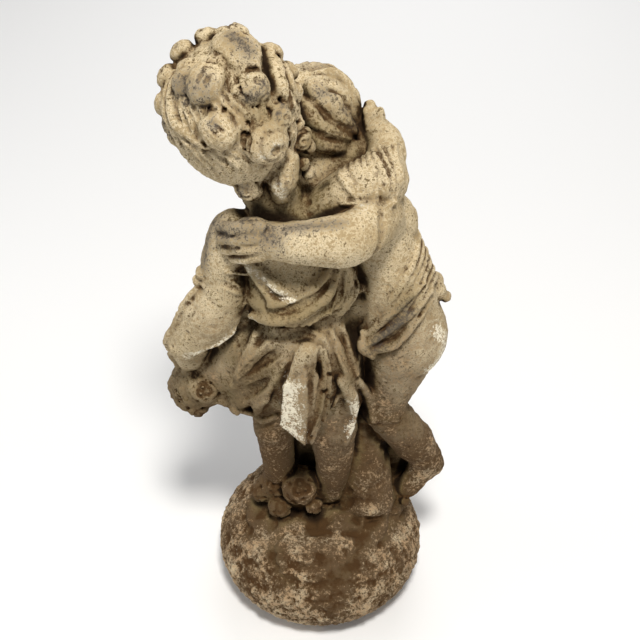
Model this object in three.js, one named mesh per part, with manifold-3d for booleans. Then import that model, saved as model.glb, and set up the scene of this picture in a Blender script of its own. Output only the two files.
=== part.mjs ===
import * as THREE from "three";
import { mergeVertices } from "three/addons/utils/BufferGeometryUtils.js";
import Module from "manifold-3d";

// Two small cherubs embracing on a round rocky mound, cast as one piece of concrete.
// Millimetres, +Z up. The girl's back is towards -Y, the boy stands on her right, towards +X.
// The origin is the middle of the mound's flat underside.

// Driving dimensions
const FIGURE_HEIGHT = 490; // from the top of the mound to the highest curl
const MOUND_DIAMETER = 200;
const MOUND_HEIGHT = 102;
const MOUND_REST_DIAMETER = 150; // the flat circle that it stands on

// The figures keep their pose and carving as shares of their height. They are measured in parts,
// PARTS to that height, and their zero is the top of the mound.
const PARTS = 470;
const inParts = (millimetres) => (millimetres * PARTS) / FIGURE_HEIGHT;
const MOUND_RADIUS = inParts(MOUND_DIAMETER / 2);
const FLOOR = -inParts(MOUND_HEIGHT);

// The mound is a ball pressed flat, cut where its section is as wide as the circle it rests on.
const CUT_SHARE = Math.sqrt(1 - (MOUND_REST_DIAMETER / MOUND_DIAMETER) ** 2);
const MOUND_HALF_HEIGHT = -FLOOR / (1 + CUT_SHARE);

// How finely the form is worked, in parts, and how many facets it ends with
const GRAIN = 4.5;
const FACETS = 9000;
const ROUNDS = 8;
const SLIVER = 0.06; // no facet narrows to less than this share of its longest side

// Small vectors

const plus = (a, b, share = 1) => a.map((v, i) => v + share * b[i]);
const minus = (a, b) => a.map((v, i) => v - b[i]);
const dot = (a, b) => a[0] * b[0] + a[1] * b[1] + a[2] * b[2];
const cross = (a, b) => [
  a[1] * b[2] - a[2] * b[1],
  a[2] * b[0] - a[0] * b[2],
  a[0] * b[1] - a[1] * b[0],
];
const length = (a) => Math.sqrt(dot(a, a));
const unit = (a) => a.map((v) => v / length(a));
const mix = (a, b, share) => a + (b - a) * share;
const clamp = (v, low, high) => Math.min(Math.max(v, low), high);

// Shapes. Each has the box it lies in and the distance from a point to its surface, negative inside.

function ball(centre, radius) {
  const [cx, cy, cz] = centre;
  return {
    low: centre.map((v) => v - radius),
    high: centre.map((v) => v + radius),
    distance(x, y, z) {
      return Math.sqrt((x - cx) ** 2 + (y - cy) ** 2 + (z - cz) ** 2) - radius;
    },
  };
}

// A round stick whose radius runs from one end's to the other's
function limb(from, fromRadius, to, toRadius) {
  const [ax, ay, az] = from;
  const [vx, vy, vz] = minus(to, from);
  const square = vx * vx + vy * vy + vz * vz;
  return {
    low: from.map((v, i) => Math.min(v - fromRadius, to[i] - toRadius)),
    high: from.map((v, i) => Math.max(v + fromRadius, to[i] + toRadius)),
    distance(x, y, z) {
      const px = x - ax;
      const py = y - ay;
      const pz = z - az;
      const share = clamp((px * vx + py * vy + pz * vz) / square, 0, 1);
      const away = Math.sqrt((px - vx * share) ** 2 + (py - vy * share) ** 2 + (pz - vz * share) ** 2);
      return away - mix(fromRadius, toRadius, share);
    },
  };
}

// An egg with its three half-lengths, turned by degrees about X, Y and Z
function egg(centre, radii, turn = [0, 0, 0]) {
  const euler = new THREE.Euler(...turn.map(THREE.MathUtils.degToRad));
  const m = new THREE.Matrix4().makeRotationFromEuler(euler).elements;
  const reach = [0, 1, 2].map((i) => Math.hypot(m[i] * radii[0], m[4 + i] * radii[1], m[8 + i] * radii[2]));
  const [cx, cy, cz] = centre;
  const [rx, ry, rz] = radii;
  return {
    low: minus(centre, reach),
    high: plus(centre, reach),
    distance(x, y, z) {
      const px = x - cx;
      const py = y - cy;
      const pz = z - cz;
      const u = (m[0] * px + m[1] * py + m[2] * pz) / rx;
      const v = (m[4] * px + m[5] * py + m[6] * pz) / ry;
      const w = (m[8] * px + m[9] * py + m[10] * pz) / rz;
      const whole = Math.sqrt(u * u + v * v + w * w);
      const slope = Math.sqrt((u / rx) ** 2 + (v / ry) ** 2 + (w / rz) ** 2);
      return slope > 0 ? (whole * (whole - 1)) / slope : -Math.min(rx, ry, rz);
    },
  };
}

// A board with rounded edges, given by its half-lengths
function board(centre, half, rounding, turn = [0, 0, 0]) {
  const euler = new THREE.Euler(...turn.map(THREE.MathUtils.degToRad));
  const m = new THREE.Matrix4().makeRotationFromEuler(euler).elements;
  const reach = [0, 1, 2].map(
    (i) => Math.abs(m[i]) * half[0] + Math.abs(m[4 + i]) * half[1] + Math.abs(m[8 + i]) * half[2],
  );
  return {
    low: minus(centre, reach),
    high: plus(centre, reach),
    distance(x, y, z) {
      const p = minus([x, y, z], centre);
      const out = [0, 4, 8].map((row, i) => {
        const along = Math.abs(m[row] * p[0] + m[row + 1] * p[1] + m[row + 2] * p[2]);
        return along - half[i] + rounding;
      });
      const beyond = length(out.map((v) => Math.max(v, 0)));
      return beyond + Math.min(Math.max(...out), 0) - rounding;
    },
  };
}

// A fold, lock or finger: a round rope through the points, its radius running through the radii
function rope(points, radii) {
  const curve = new THREE.CatmullRomCurve3(points.map((p) => new THREE.Vector3(...p)));
  const pieces = Math.max(4, 4 * (points.length - 1));
  const stations = curve.getPoints(pieces).map((p) => p.toArray());
  const radiusAt = (share) => {
    const place = share * (radii.length - 1);
    const before = Math.min(Math.floor(place), radii.length - 2);
    return mix(radii[before], radii[before + 1], place - before);
  };
  const links = [];
  for (let i = 0; i < pieces; i++) {
    links.push(limb(stations[i], radiusAt(i / pieces), stations[i + 1], radiusAt((i + 1) / pieces)));
  }
  return {
    low: [0, 1, 2].map((i) => Math.min(...links.map((link) => link.low[i]))),
    high: [0, 1, 2].map((i) => Math.max(...links.map((link) => link.high[i]))),
    distance(x, y, z) {
      let nearest = Infinity;
      for (const link of links) {
        nearest = Math.min(nearest, link.distance(x, y, z));
      }
      return nearest;
    },
  };
}

// The smaller of two distances, rounded over where they are within the blend of each other
function softMin(a, b, blend) {
  const near = Math.max(blend - Math.abs(a - b), 0) / Math.max(blend, 1e-6);
  return Math.min(a, b) - (near * near * blend) / 4;
}

// Clay: distances kept at the knots of a grid, which shapes are added to and cut from

const FAR = 40;
const REACH = 12; // how far round a shape its distance is kept

class Clay {
  constructor(low, high, grain) {
    this.low = low;
    this.grain = grain;
    this.count = high.map((v, i) => Math.ceil((v - low[i]) / grain) + 1);
    this.stride = [1, this.count[0], this.count[0] * this.count[1]];
    this.field = new Float32Array(this.stride[2] * this.count[2]).fill(FAR);
  }

  change(shape, reach, combine) {
    const { low, grain, count, stride, field } = this;
    const first = shape.low.map((v, i) => clamp(Math.floor((v - reach - low[i]) / grain), 0, count[i]));
    const last = shape.high.map((v, i) => clamp(Math.ceil((v + reach - low[i]) / grain), -1, count[i] - 1));
    for (let k = first[2]; k <= last[2]; k++) {
      for (let j = first[1]; j <= last[1]; j++) {
        let knot = first[0] + j * stride[1] + k * stride[2];
        for (let i = first[0]; i <= last[0]; i++) {
          const d = shape.distance(low[0] + i * grain, low[1] + j * grain, low[2] + k * grain);
          field[knot] = combine(field[knot], d);
          knot++;
        }
      }
    }
  }

  add(shape, blend = 3) {
    this.change(shape, blend + REACH, (old, d) => softMin(old, d, blend));
  }

  cut(shape, blend = 3) {
    this.change(shape, blend + GRAIN, (old, d) => -softMin(-old, d, blend));
  }

  distance(point) {
    const place = point.map((v, i) => clamp((v - this.low[i]) / this.grain, 0, this.count[i] - 1.001));
    const knot = place.map(Math.floor);
    let sum = 0;
    for (let corner = 0; corner < 8; corner++) {
      let weight = 1;
      let index = 0;
      for (let i = 0; i < 3; i++) {
        const step = (corner >> i) & 1;
        const share = place[i] - knot[i];
        weight *= step ? share : 1 - share;
        index += (knot[i] + step) * this.stride[i];
      }
      sum += weight * this.field[index];
    }
    return sum;
  }

  outward(point) {
    const reach = this.grain / 2;
    return unit(
      [0, 1, 2].map((i) => {
        const step = [0, 0, 0];
        step[i] = reach;
        return this.distance(plus(point, step)) - this.distance(minus(point, step)) + 1e-9;
      }),
    );
  }

  // The nearest point of the surface, raised by the given height
  onSurface(point, raise = 0) {
    let p = point;
    for (let turn = 0; turn < 5; turn++) {
      p = plus(p, this.outward(p), raise - this.distance(p));
    }
    return p;
  }

  // A fold or lock that lies on the surface, along a line through the given points
  lay(points, radii, raise = 0, blend = 3) {
    const laid = points.map((p) => this.onSurface(p, raise));
    this.add(rope(laid, radii), blend);
  }
}

// The mound

function moundTop(x, y) {
  const across = Math.min((x * x + y * y) / MOUND_RADIUS ** 2, 1);
  return MOUND_HALF_HEIGHT * (Math.sqrt(1 - across) - 1);
}

// A point at a height over the mound's surface
const onMound = (x, y, height = 0) => [x, y, moundTop(x, y) + height];

function addMound(clay) {
  clay.add(egg([0, 0, -MOUND_HALF_HEIGHT], [MOUND_RADIUS, MOUND_RADIUS, MOUND_HALF_HEIGHT]));
  // flat slabs of rock: degrees round from the front, share of the way out, half-width
  const slabs = [
    [-24, 0.3, 32],
    [22, 0.42, 30],
    [-8, 0.62, 32],
    [52, 0.5, 26],
    [-70, 0.5, 28],
    [95, 0.55, 30],
    [150, 0.5, 34],
    [205, 0.55, 30],
    [250, 0.45, 26],
  ];
  for (const [bearing, out, half] of slabs) {
    const angle = THREE.MathUtils.degToRad(bearing);
    const x = Math.sin(angle) * out * MOUND_RADIUS;
    const y = -Math.cos(angle) * out * MOUND_RADIUS;
    clay.add(egg(onMound(x, y, -4), [half, half * 0.8, 8], [out * 40, 0, bearing]), 3);
  }
  // the rock that the legs are cast against
  clay.add(limb([38, 18, 104], 15, onMound(36, 8, 8), 26), 8);
  clay.add(limb([16, 24, 118], 20, onMound(12, 30, 4), 26), 8);
  clay.add(limb([40, 8, 62], 16, onMound(46, -12, 16), 20), 12);
  clay.add(ball([62, 4, -8], 18), 8);
  clay.add(egg([-14, 18, 50], [24, 10, 62]), 8);
  clay.add(limb([66, 30, 70], 12, [70, 30, -10], 20), 8);
}

// The figures' limbs

// A hand: a palm and four fingers laid from the wrist along a line, the thumb to one side
function addHand(clay, wrist, along, across, size) {
  const reach = unit(along);
  const side = unit(across);
  const down = unit(cross(reach, side));
  const place = (a, b, c) => plus(plus(plus(wrist, reach, a * size), side, b * size), down, c * size);
  clay.add(egg(place(0.35, 0, 0), [size * 0.42, size * 0.42, size * 0.34]), 3);
  for (let finger = 0; finger < 4; finger++) {
    const lane = (finger - 1.5) * 0.3;
    const tip = 1.15 - 0.08 * Math.abs(finger - 1.5);
    const points = [place(0.4, lane * 0.8, 0), place(0.8, lane, -0.02), place(tip, lane * 1.1, 0.16)];
    clay.add(rope(points, [size * 0.19, size * 0.18, size * 0.15]), 2);
  }
  clay.add(rope([place(0.1, 0.4, 0.1), place(0.6, 0.7, 0.15)], [size * 0.18, size * 0.14]), 2);
}

// A foot from its heel to its toes
function addFoot(clay, heel, ankle, toes, size) {
  const forward = unit(minus(toes, heel));
  const side = unit(cross(forward, minus(ankle, heel)));
  clay.add(ball(heel, size * 0.66), 4);
  clay.add(limb(heel, size * 0.55, plus(toes, forward, -size * 0.6), size * 0.54), 5);
  clay.add(limb(ankle, size * 0.62, plus(toes, forward, -size), size * 0.44), 6);
  for (let toe = 0; toe < 5; toe++) {
    const lane = (toe - 2) * size * 0.28;
    clay.add(ball(plus(plus(toes, side, lane), forward, -Math.abs(lane) * 0.25), size * 0.21), 1.5);
  }
}

// A round child's face with brow, eyes, cheeks, nose, lips and chin, looking along forward
function addFace(clay, centre, forward, up, size) {
  const front = unit(forward);
  const side = unit(cross(front, up));
  const crown = cross(side, front);
  const place = (a, b, c) =>
    plus(plus(plus(centre, side, a * size), crown, b * size), front, c * size);
  clay.add(ball(place(0, 0.05, 0), size * 0.95), 4);
  clay.add(ball(place(0, 0.3, 0.27), size * 0.68), 6);
  clay.add(ball(place(0, -0.45, 0.6), size * 0.34), 8);
  clay.add(ball(place(0, -0.74, 0.62), size * 0.23), 5);
  for (const hand of [-1, 1]) {
    clay.add(ball(place(hand * 0.36, -0.32, 0.56), size * 0.37), 6);
    clay.cut(limb(place(hand * 0.26, 0.02, 1), size * 0.2, place(hand * 0.44, 0, 0.9), size * 0.18), 2);
    clay.add(ball(place(hand * 0.33, -0.01, 0.7), size * 0.17), 1);
  }
  clay.add(limb(place(0, 0.08, 0.9), size * 0.09, place(0, -0.2, 1.02), size * 0.13), 3);
  clay.add(limb(place(-0.13, -0.49, 0.93), size * 0.08, place(0.13, -0.49, 0.93), size * 0.08), 2);
}

// A place on a head of hair: degrees round from the front and up from the middle, and how far out
function onHair(head, bearing, height, out = 1) {
  const a = THREE.MathUtils.degToRad(bearing);
  const h = THREE.MathUtils.degToRad(height);
  const way = [Math.sin(a) * Math.cos(h), -Math.cos(a) * Math.cos(h), Math.sin(h)];
  const scaled = new THREE.Vector3(...way.map((v, i) => v * head.half[i] * out));
  const euler = new THREE.Euler(...head.turn.map(THREE.MathUtils.degToRad));
  return plus(head.centre, scaled.applyEuler(euler).toArray());
}

// A knob of hair, dimpled where its lock winds in if it is a large one
function addCurl(clay, head, bearing, height, size) {
  const outward = unit(minus(onHair(head, bearing, height), head.centre));
  const place = plus(onHair(head, bearing, height), outward, size * 0.15);
  clay.add(ball(place, size), 2);
  if (size > 11) {
    clay.cut(ball(plus(place, outward, size * 1.2), size * 0.5), 3);
  }
}

function addRose(clay, centre, outward, size) {
  clay.add(ball(centre, size), 2);
  if (size > 11) {
    clay.cut(ball(plus(centre, unit(outward), size * 1.15), size * 0.5), 3);
  }
}

// The girl

const GIRL_HEAD = { centre: [-60, -1, 405], half: [45, 46, 53], turn: [0, -18, 0] };
const GIRL_LOOKS = [0.15, 0.95, -0.25];
const GIRL_UP = [-0.3, 0.2, 0.95];

function addGirlBody(clay) {
  clay.add(limb([-26, -4, 314], 21, [-46, 0, 368], 23), 10);
  clay.add(egg([-20, -4, 280], [40, 30, 48]), 8);
  clay.add(limb([-56, -12, 302], 18, [4, -2, 316], 18), 12);
  clay.add(limb([-30, 4, 332], 13, [2, 22, 338], 14), 6);
  clay.add(egg([-18, -4, 205], [41, 34, 60]), 10);
}

function addGirlDress(clay) {
  // skirt, gathered up on the left over the roses it carries, and open below
  clay.add(limb([-18, -5, 215], 37, [-17, -4, 172], 44), 8);
  clay.add(limb([-52, -4, 196], 30, [-94, 8, 140], 22), 10);
  clay.add(limb([12, -12, 190], 22, [18, -14, 138], 16), 8);
  clay.add(limb([-46, 0, 268], 22, [-84, 0, 214], 20), 6);
  clay.add(limb([-56, -8, 166], 24, [-66, -6, 140], 17), 6);
  clay.cut(egg([-16, -4, 106], [36, 32, 22]), 4);
  // legs
  clay.add(limb([-38, -6, 160], 22, [-39, -12, 105], 17), 6);
  clay.add(limb([-39, -12, 105], 17, [-36, -6, 28], 13), 6);
  clay.add(limb([10, -8, 160], 24, [10, -15, 108], 21), 6);
  clay.add(rope([[10, -15, 108], [12, -14, 60], [8, -6, 14]], [21, 16, 14]), 5);
  addFoot(clay, onMound(-36, -4, 9), [-36, -4, 20], onMound(-38, 28, 7), 16);
  addFoot(clay, onMound(8, -4, 9), [9, -4, 22], onMound(0, 30, 7), 16);
  // long folds from the waist to the gathered side and to the hem
  for (let fold = 0; fold < 5; fold++) {
    const share = fold / 4;
    const start = [mix(-46, 8, share), -44, 228 - 4 * share];
    const middle = [mix(-68, 14, share), -48, mix(180, 180, share)];
    const end = [mix(-94, 22, share), mix(-14, -36, share), mix(138, 126, share)];
    clay.lay([start, middle, end], [4, 6.5, 6], 1, 4);
  }
  // plainer folds on the far side
  for (let fold = 0; fold < 6; fold++) {
    const share = fold / 5;
    const start = [mix(-50, 16, share), 40, 226];
    const end = [mix(-74, 22, share), 44, 136];
    clay.lay([start, plus(start, minus(end, start), 0.5), end], [4, 6.5, 6], 1, 4);
  }
  // the blouse bulges over the waist and hangs in swags between the shoulders
  clay.add(egg([-18, -6, 264], [43, 36, 34]), 4);
  const around = [];
  for (let step = 0; step <= 16; step++) {
    const angle = (step / 16) * 2 * Math.PI;
    around.push([-18 - 44 * Math.sin(angle), -5 - 38 * Math.cos(angle), 236 + 8 * Math.sin(angle)]);
  }
  clay.lay(around, [5.5, 5.5], 0, 3);
  for (let swag = 0; swag < 4; swag++) {
    const drop = 12 + 11 * swag;
    const points = [
      [-56, -30, 290],
      [-40, -42, 286 - drop],
      [-8, -46, 284 - drop],
      [20, -32, 284 - drop * 0.4],
    ];
    clay.lay(points, [3, 5, 5, 3], 1, 3);
  }
  for (let swag = 0; swag < 3; swag++) {
    const drop = 14 + 14 * swag;
    clay.lay([[-50, 30, 300], [-18, 40, 292 - drop], [12, 30, 306]], [3, 5, 3], 1, 3);
  }
  // the sash's knotted loose end, wide and pointed below
  clay.add(limb([-10, -44, 222], 7, [-16, -49, 192], 9), 3);
  clay.add(board([-19, -50, 166], [13, 5, 24], 3, [-8, 0, 4]), 2);
  clay.add(board([-19, -51, 144], [10, 5, 10], 3, [-8, 45, 4]), 2);
  // the fold that runs down the right leg
  clay.lay([[24, -30, 190], [32, -34, 150], [27, -34, 118], [18, -32, 76]], [6, 7, 6, 3], 1, 4);
}

function addGirlLeftArm(clay) {
  // a wide sleeve to the elbow
  clay.add(rope([[-66, -14, 308], [-81, -17, 258], [-97, -18, 212]], [19, 18, 20]), 5);
  clay.add(rope([[-100, -16, 210], [-106, -2, 180], [-105, 12, 156]], [17, 15, 12]), 4);
  addHand(clay, [-105, 14, 156], [-0.1, 0.5, -0.9], [0.9, 0.3, 0], 18);
  // gathered cloth and the roses it carries
  clay.add(egg([-106, 12, 130], [22, 22, 21]), 5);
  const roses = [
    [-97, -6, 136, 12],
    [-115, -2, 136, 10],
    [-110, -4, 119, 10],
    [-121, 10, 124, 9],
    [-98, 28, 138, 11],
    [-116, 26, 134, 10],
    [-86, 12, 120, 9],
  ];
  for (const [x, y, z, size] of roses) {
    addRose(clay, [x, y, z], minus([x, y, z], [-106, 14, 124]), size);
  }
}

function addGirlRightArm(clay) {
  // the sleeve widens to the elbow and its edge hangs to a point
  clay.add(rope([[4, -4, 326], [24, -4, 342], [44, 2, 347]], [18, 19, 21]), 4);
  clay.add(limb([44, -2, 338], 16, [44, -14, 322], 6), 4);
  clay.add(rope([[46, 6, 350], [49, 26, 360], [40, 42, 366]], [16, 14, 12]), 4);
  addHand(clay, [38, 44, 366], [-0.7, 0.6, 0.2], [0.1, -0.4, 0.9], 17);
  for (let fold = 0; fold < 4; fold++) {
    const x = 20 + fold * 8;
    clay.lay([[x, 0, 368], [x + 8, -20, 348], [x + 10, -20, 324]], [2, 3.5, 2], 0.5, 2);
  }
}

function addGirlHead(clay) {
  clay.add(egg(GIRL_HEAD.centre, GIRL_HEAD.half, GIRL_HEAD.turn), 4);
  addFace(clay, plus(GIRL_HEAD.centre, unit(GIRL_LOOKS), 12), GIRL_LOOKS, GIRL_UP, 42);
  // curls: degrees round from the front, degrees up, size
  const curls = [
    [139, 55, 9],
    [-173, 68, 9],
    [-118, 61, 9],
    [21, 73, 9],
    [94, 65, 11],
    [80, 46, 10],
    [-30, 55, 11],
    [7, 56, 11],
    [-8, 42, 8],
    [46, 33, 12],
    [54, 4, 9],
    [33, -6, 15],
    [-6, 15, 12],
    [-11, -59, 12],
    [52, -55, 17],
    [14, -61, 9],
    [-84, 29, 8],
    [-76, 12, 7],
    [-72, 4, 6],
    [108, 13, 8],
    [117, 30, 8],
    [93, 18, 7],
    [71, 8, 7],
    [56, -13, 6],
    [76, -22, 7],
    [82, -36, 7],
    [70, -45, 7],
    [-140, 38, 10],
    [-120, 14, 10],
    [-150, 8, 9],
    [165, 42, 10],
    [-112, -14, 9],
    [135, 20, 9],
  ];
  for (const [bearing, height, size] of curls) {
    addCurl(clay, GIRL_HEAD, bearing, height, size);
  }
}

// The boy

const BOY_HEAD = { centre: [-6, 51, 369], half: [34, 36, 37], turn: [0, 0, 0] };
const BOY_LOOKS = [-0.85, 0.4, 0.3];
const BOY_UP = [0.25, 0, 1];

function addBoyBody(clay) {
  clay.add(rope([[66, 8, 200], [57, 10, 245], [44, 12, 285], [36, 14, 312]], [35, 32, 29, 25]), 8);
  clay.add(ball([73, 4, 194], 30), 10);
  clay.add(limb([28, 16, 322], 21, [2, 40, 350], 21), 8);
  clay.add(limb([34, 22, 328], 18, [22, 38, 354], 16), 6);
  clay.add(limb([44, -2, 314], 19, [26, 34, 314], 19), 8);
  // near leg, the heel raised
  clay.add(limb([66, 2, 184], 32, [53, 0, 118], 19), 8);
  clay.add(limb([55, 0, 112], 19, [82, 6, 66], 18), 6);
  clay.add(limb([82, 6, 66], 18, [96, 8, 42], 14), 4);
  addFoot(clay, [100, 9, 31], [95, 7, 42], [72, -3, 0], 19);
  // far leg, its sole on the rock
  clay.add(limb([60, 32, 182], 31, [44, 44, 104], 22), 8);
  clay.add(limb([44, 44, 104], 21, [50, 50, 24], 13), 6);
  addFoot(clay, onMound(52, 48, 10), [50, 49, 24], onMound(24, 58, 8), 16);
}

function addBoySash(clay) {
  // folds from the groin up over the near hip to the small of the back, and on round the far side
  for (let fold = 0; fold < 5; fold++) {
    const share = fold / 4;
    const points = [
      [mix(28, 42, share), -22, mix(206, 178, share)],
      [mix(56, 66, share), -34, mix(232, 196, share)],
      [mix(74, 84, share), -20, mix(266, 230, share)],
      [mix(84, 90, share), 8, mix(274, 244, share)],
      [mix(66, 72, share), 44, mix(262, 232, share)],
      [mix(34, 40, share), 44, mix(220, 190, share)],
    ];
    clay.lay(points, [4.5, 4.5], 0.5, 3);
  }
  clay.add(ball([94, 14, 232], 9), 3);
  clay.add(limb([92, 18, 240], 7, [92, 24, 214], 6), 3);
  clay.add(egg([64, 14, 306], [10, 12, 19], [0, -20, 0]), 4);
}

function addBoyArms(clay) {
  // near arm, across the girl's back to her far shoulder
  clay.add(rope([[44, -6, 322], [36, -26, 326], [25, -36, 326]], [18, 18, 17]), 4);
  clay.add(rope([[26, -36, 326], [-14, -45, 326], [-50, -38, 324]], [17, 14, 13]), 4);
  addHand(clay, [-52, -34, 327], [-0.95, 0.3, 0.05], [0, -0.5, 0.9], 24);
  // far arm, across her front to her waist
  clay.add(rope([[34, 36, 310], [22, 52, 284], [4, 50, 262]], [18, 16, 15]), 4);
  clay.add(rope([[6, 50, 264], [-12, 46, 262], [-28, 42, 260]], [14, 12, 11]), 3);
  addHand(clay, [-28, 40, 260], [-1, -0.2, 0], [0, 0.1, 1], 17);
}

function addBoyHead(clay) {
  clay.add(egg(BOY_HEAD.centre, BOY_HEAD.half, BOY_HEAD.turn), 4);
  addFace(clay, plus(BOY_HEAD.centre, unit(BOY_LOOKS), 8), BOY_LOOKS, BOY_UP, 33);
  // wavy locks combed from the crown down to the neck and the temples
  for (let lock = 0; lock < 9; lock++) {
    const bearing = 10 + lock * 24;
    const points = [78, 50, 20, -12].map((height, step) =>
      onHair(BOY_HEAD, bearing + (step % 2 ? 8 : -8), height, 1.02),
    );
    clay.add(rope(points, [4, 5.5, 6, 4]), 2);
  }
}

// Fallen roses at the girl's feet
function addGroundRoses(clay) {
  const roses = [
    [-19, -10, 26, 14],
    [-56, -8, 12, 9],
    [-41, -12, 24, 8],
    [-34, -20, 6, 12],
  ];
  for (const [x, y, z, size] of roses) {
    addRose(clay, [x, y, z], [0.1, -1, 0.6], size);
  }
}

// From clay to facets

// Each cell of the grid is cut in six tetrahedra round its long diagonal, and each of those gives
// up to two triangles where the distance changes sign.
const TETRAHEDRA = [
  [0, 1, 3, 7],
  [0, 3, 2, 7],
  [0, 2, 6, 7],
  [0, 6, 4, 7],
  [0, 4, 5, 7],
  [0, 5, 1, 7],
];
const ONE_IN = [[0, 1, 2, 3], [1, 0, 3, 2], [2, 3, 0, 1], [3, 2, 1, 0]];
const TWO_IN = [[0, 1, 2, 3], [0, 2, 3, 1], [0, 3, 1, 2], [1, 2, 0, 3], [1, 3, 2, 0], [2, 3, 0, 1]];

function skinOf(clay) {
  const { low, grain, count, stride, field } = clay;
  const offset = (corner) => (corner & 1) + ((corner >> 1) & 1) * stride[1] + ((corner >> 2) & 1) * stride[2];
  const made = new Int32Array(field.length * 8).fill(-1);
  const points = [];
  const triangles = [];
  const placeOf = (knot) => {
    const k = Math.floor(knot / stride[2]);
    const j = Math.floor((knot - k * stride[2]) / stride[1]);
    return [knot - k * stride[2] - j * stride[1], j, k];
  };
  const crossing = (base, a, b) => {
    const [first, second] = a < b ? [a, b] : [b, a];
    const knot = base + offset(first);
    const key = knot * 8 + (first ^ second);
    if (made[key] < 0) {
      const other = base + offset(second);
      const share = clamp(field[knot] / (field[knot] - field[other]), 0.03, 0.97);
      const from = placeOf(knot);
      const to = placeOf(other);
      made[key] = points.length / 3;
      for (let i = 0; i < 3; i++) {
        points.push(low[i] + grain * mix(from[i], to[i], share));
      }
    }
    return made[key];
  };
  for (let k = 0; k < count[2] - 1; k++) {
    for (let j = 0; j < count[1] - 1; j++) {
      for (let i = 0; i < count[0] - 1; i++) {
        const base = i + j * stride[1] + k * stride[2];
        let inside = 0;
        for (let corner = 0; corner < 8; corner++) {
          inside |= field[base + offset(corner)] < 0 ? 1 << corner : 0;
        }
        if (inside === 0 || inside === 255) {
          continue;
        }
        for (const corners of TETRAHEDRA) {
          const isIn = corners.map((corner) => (inside >> corner) & 1);
          const sum = isIn[0] + isIn[1] + isIn[2] + isIn[3];
          const edge = (order, a, b) => crossing(base, corners[order[a]], corners[order[b]]);
          if (sum === 1 || sum === 3) {
            const order = ONE_IN[isIn.indexOf(sum === 1 ? 1 : 0)];
            const [p, q, r] = [edge(order, 0, 1), edge(order, 0, 2), edge(order, 0, 3)];
            triangles.push(...(sum === 1 ? [p, q, r] : [p, r, q]));
          } else if (sum === 2) {
            const order = TWO_IN.find((two) => isIn[two[0]] && isIn[two[1]]);
            const [p, q] = [edge(order, 0, 2), edge(order, 0, 3)];
            const [r, s] = [edge(order, 1, 3), edge(order, 1, 2)];
            triangles.push(p, q, r, p, r, s);
          }
        }
      }
    }
  }
  return { points, triangles };
}

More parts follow.
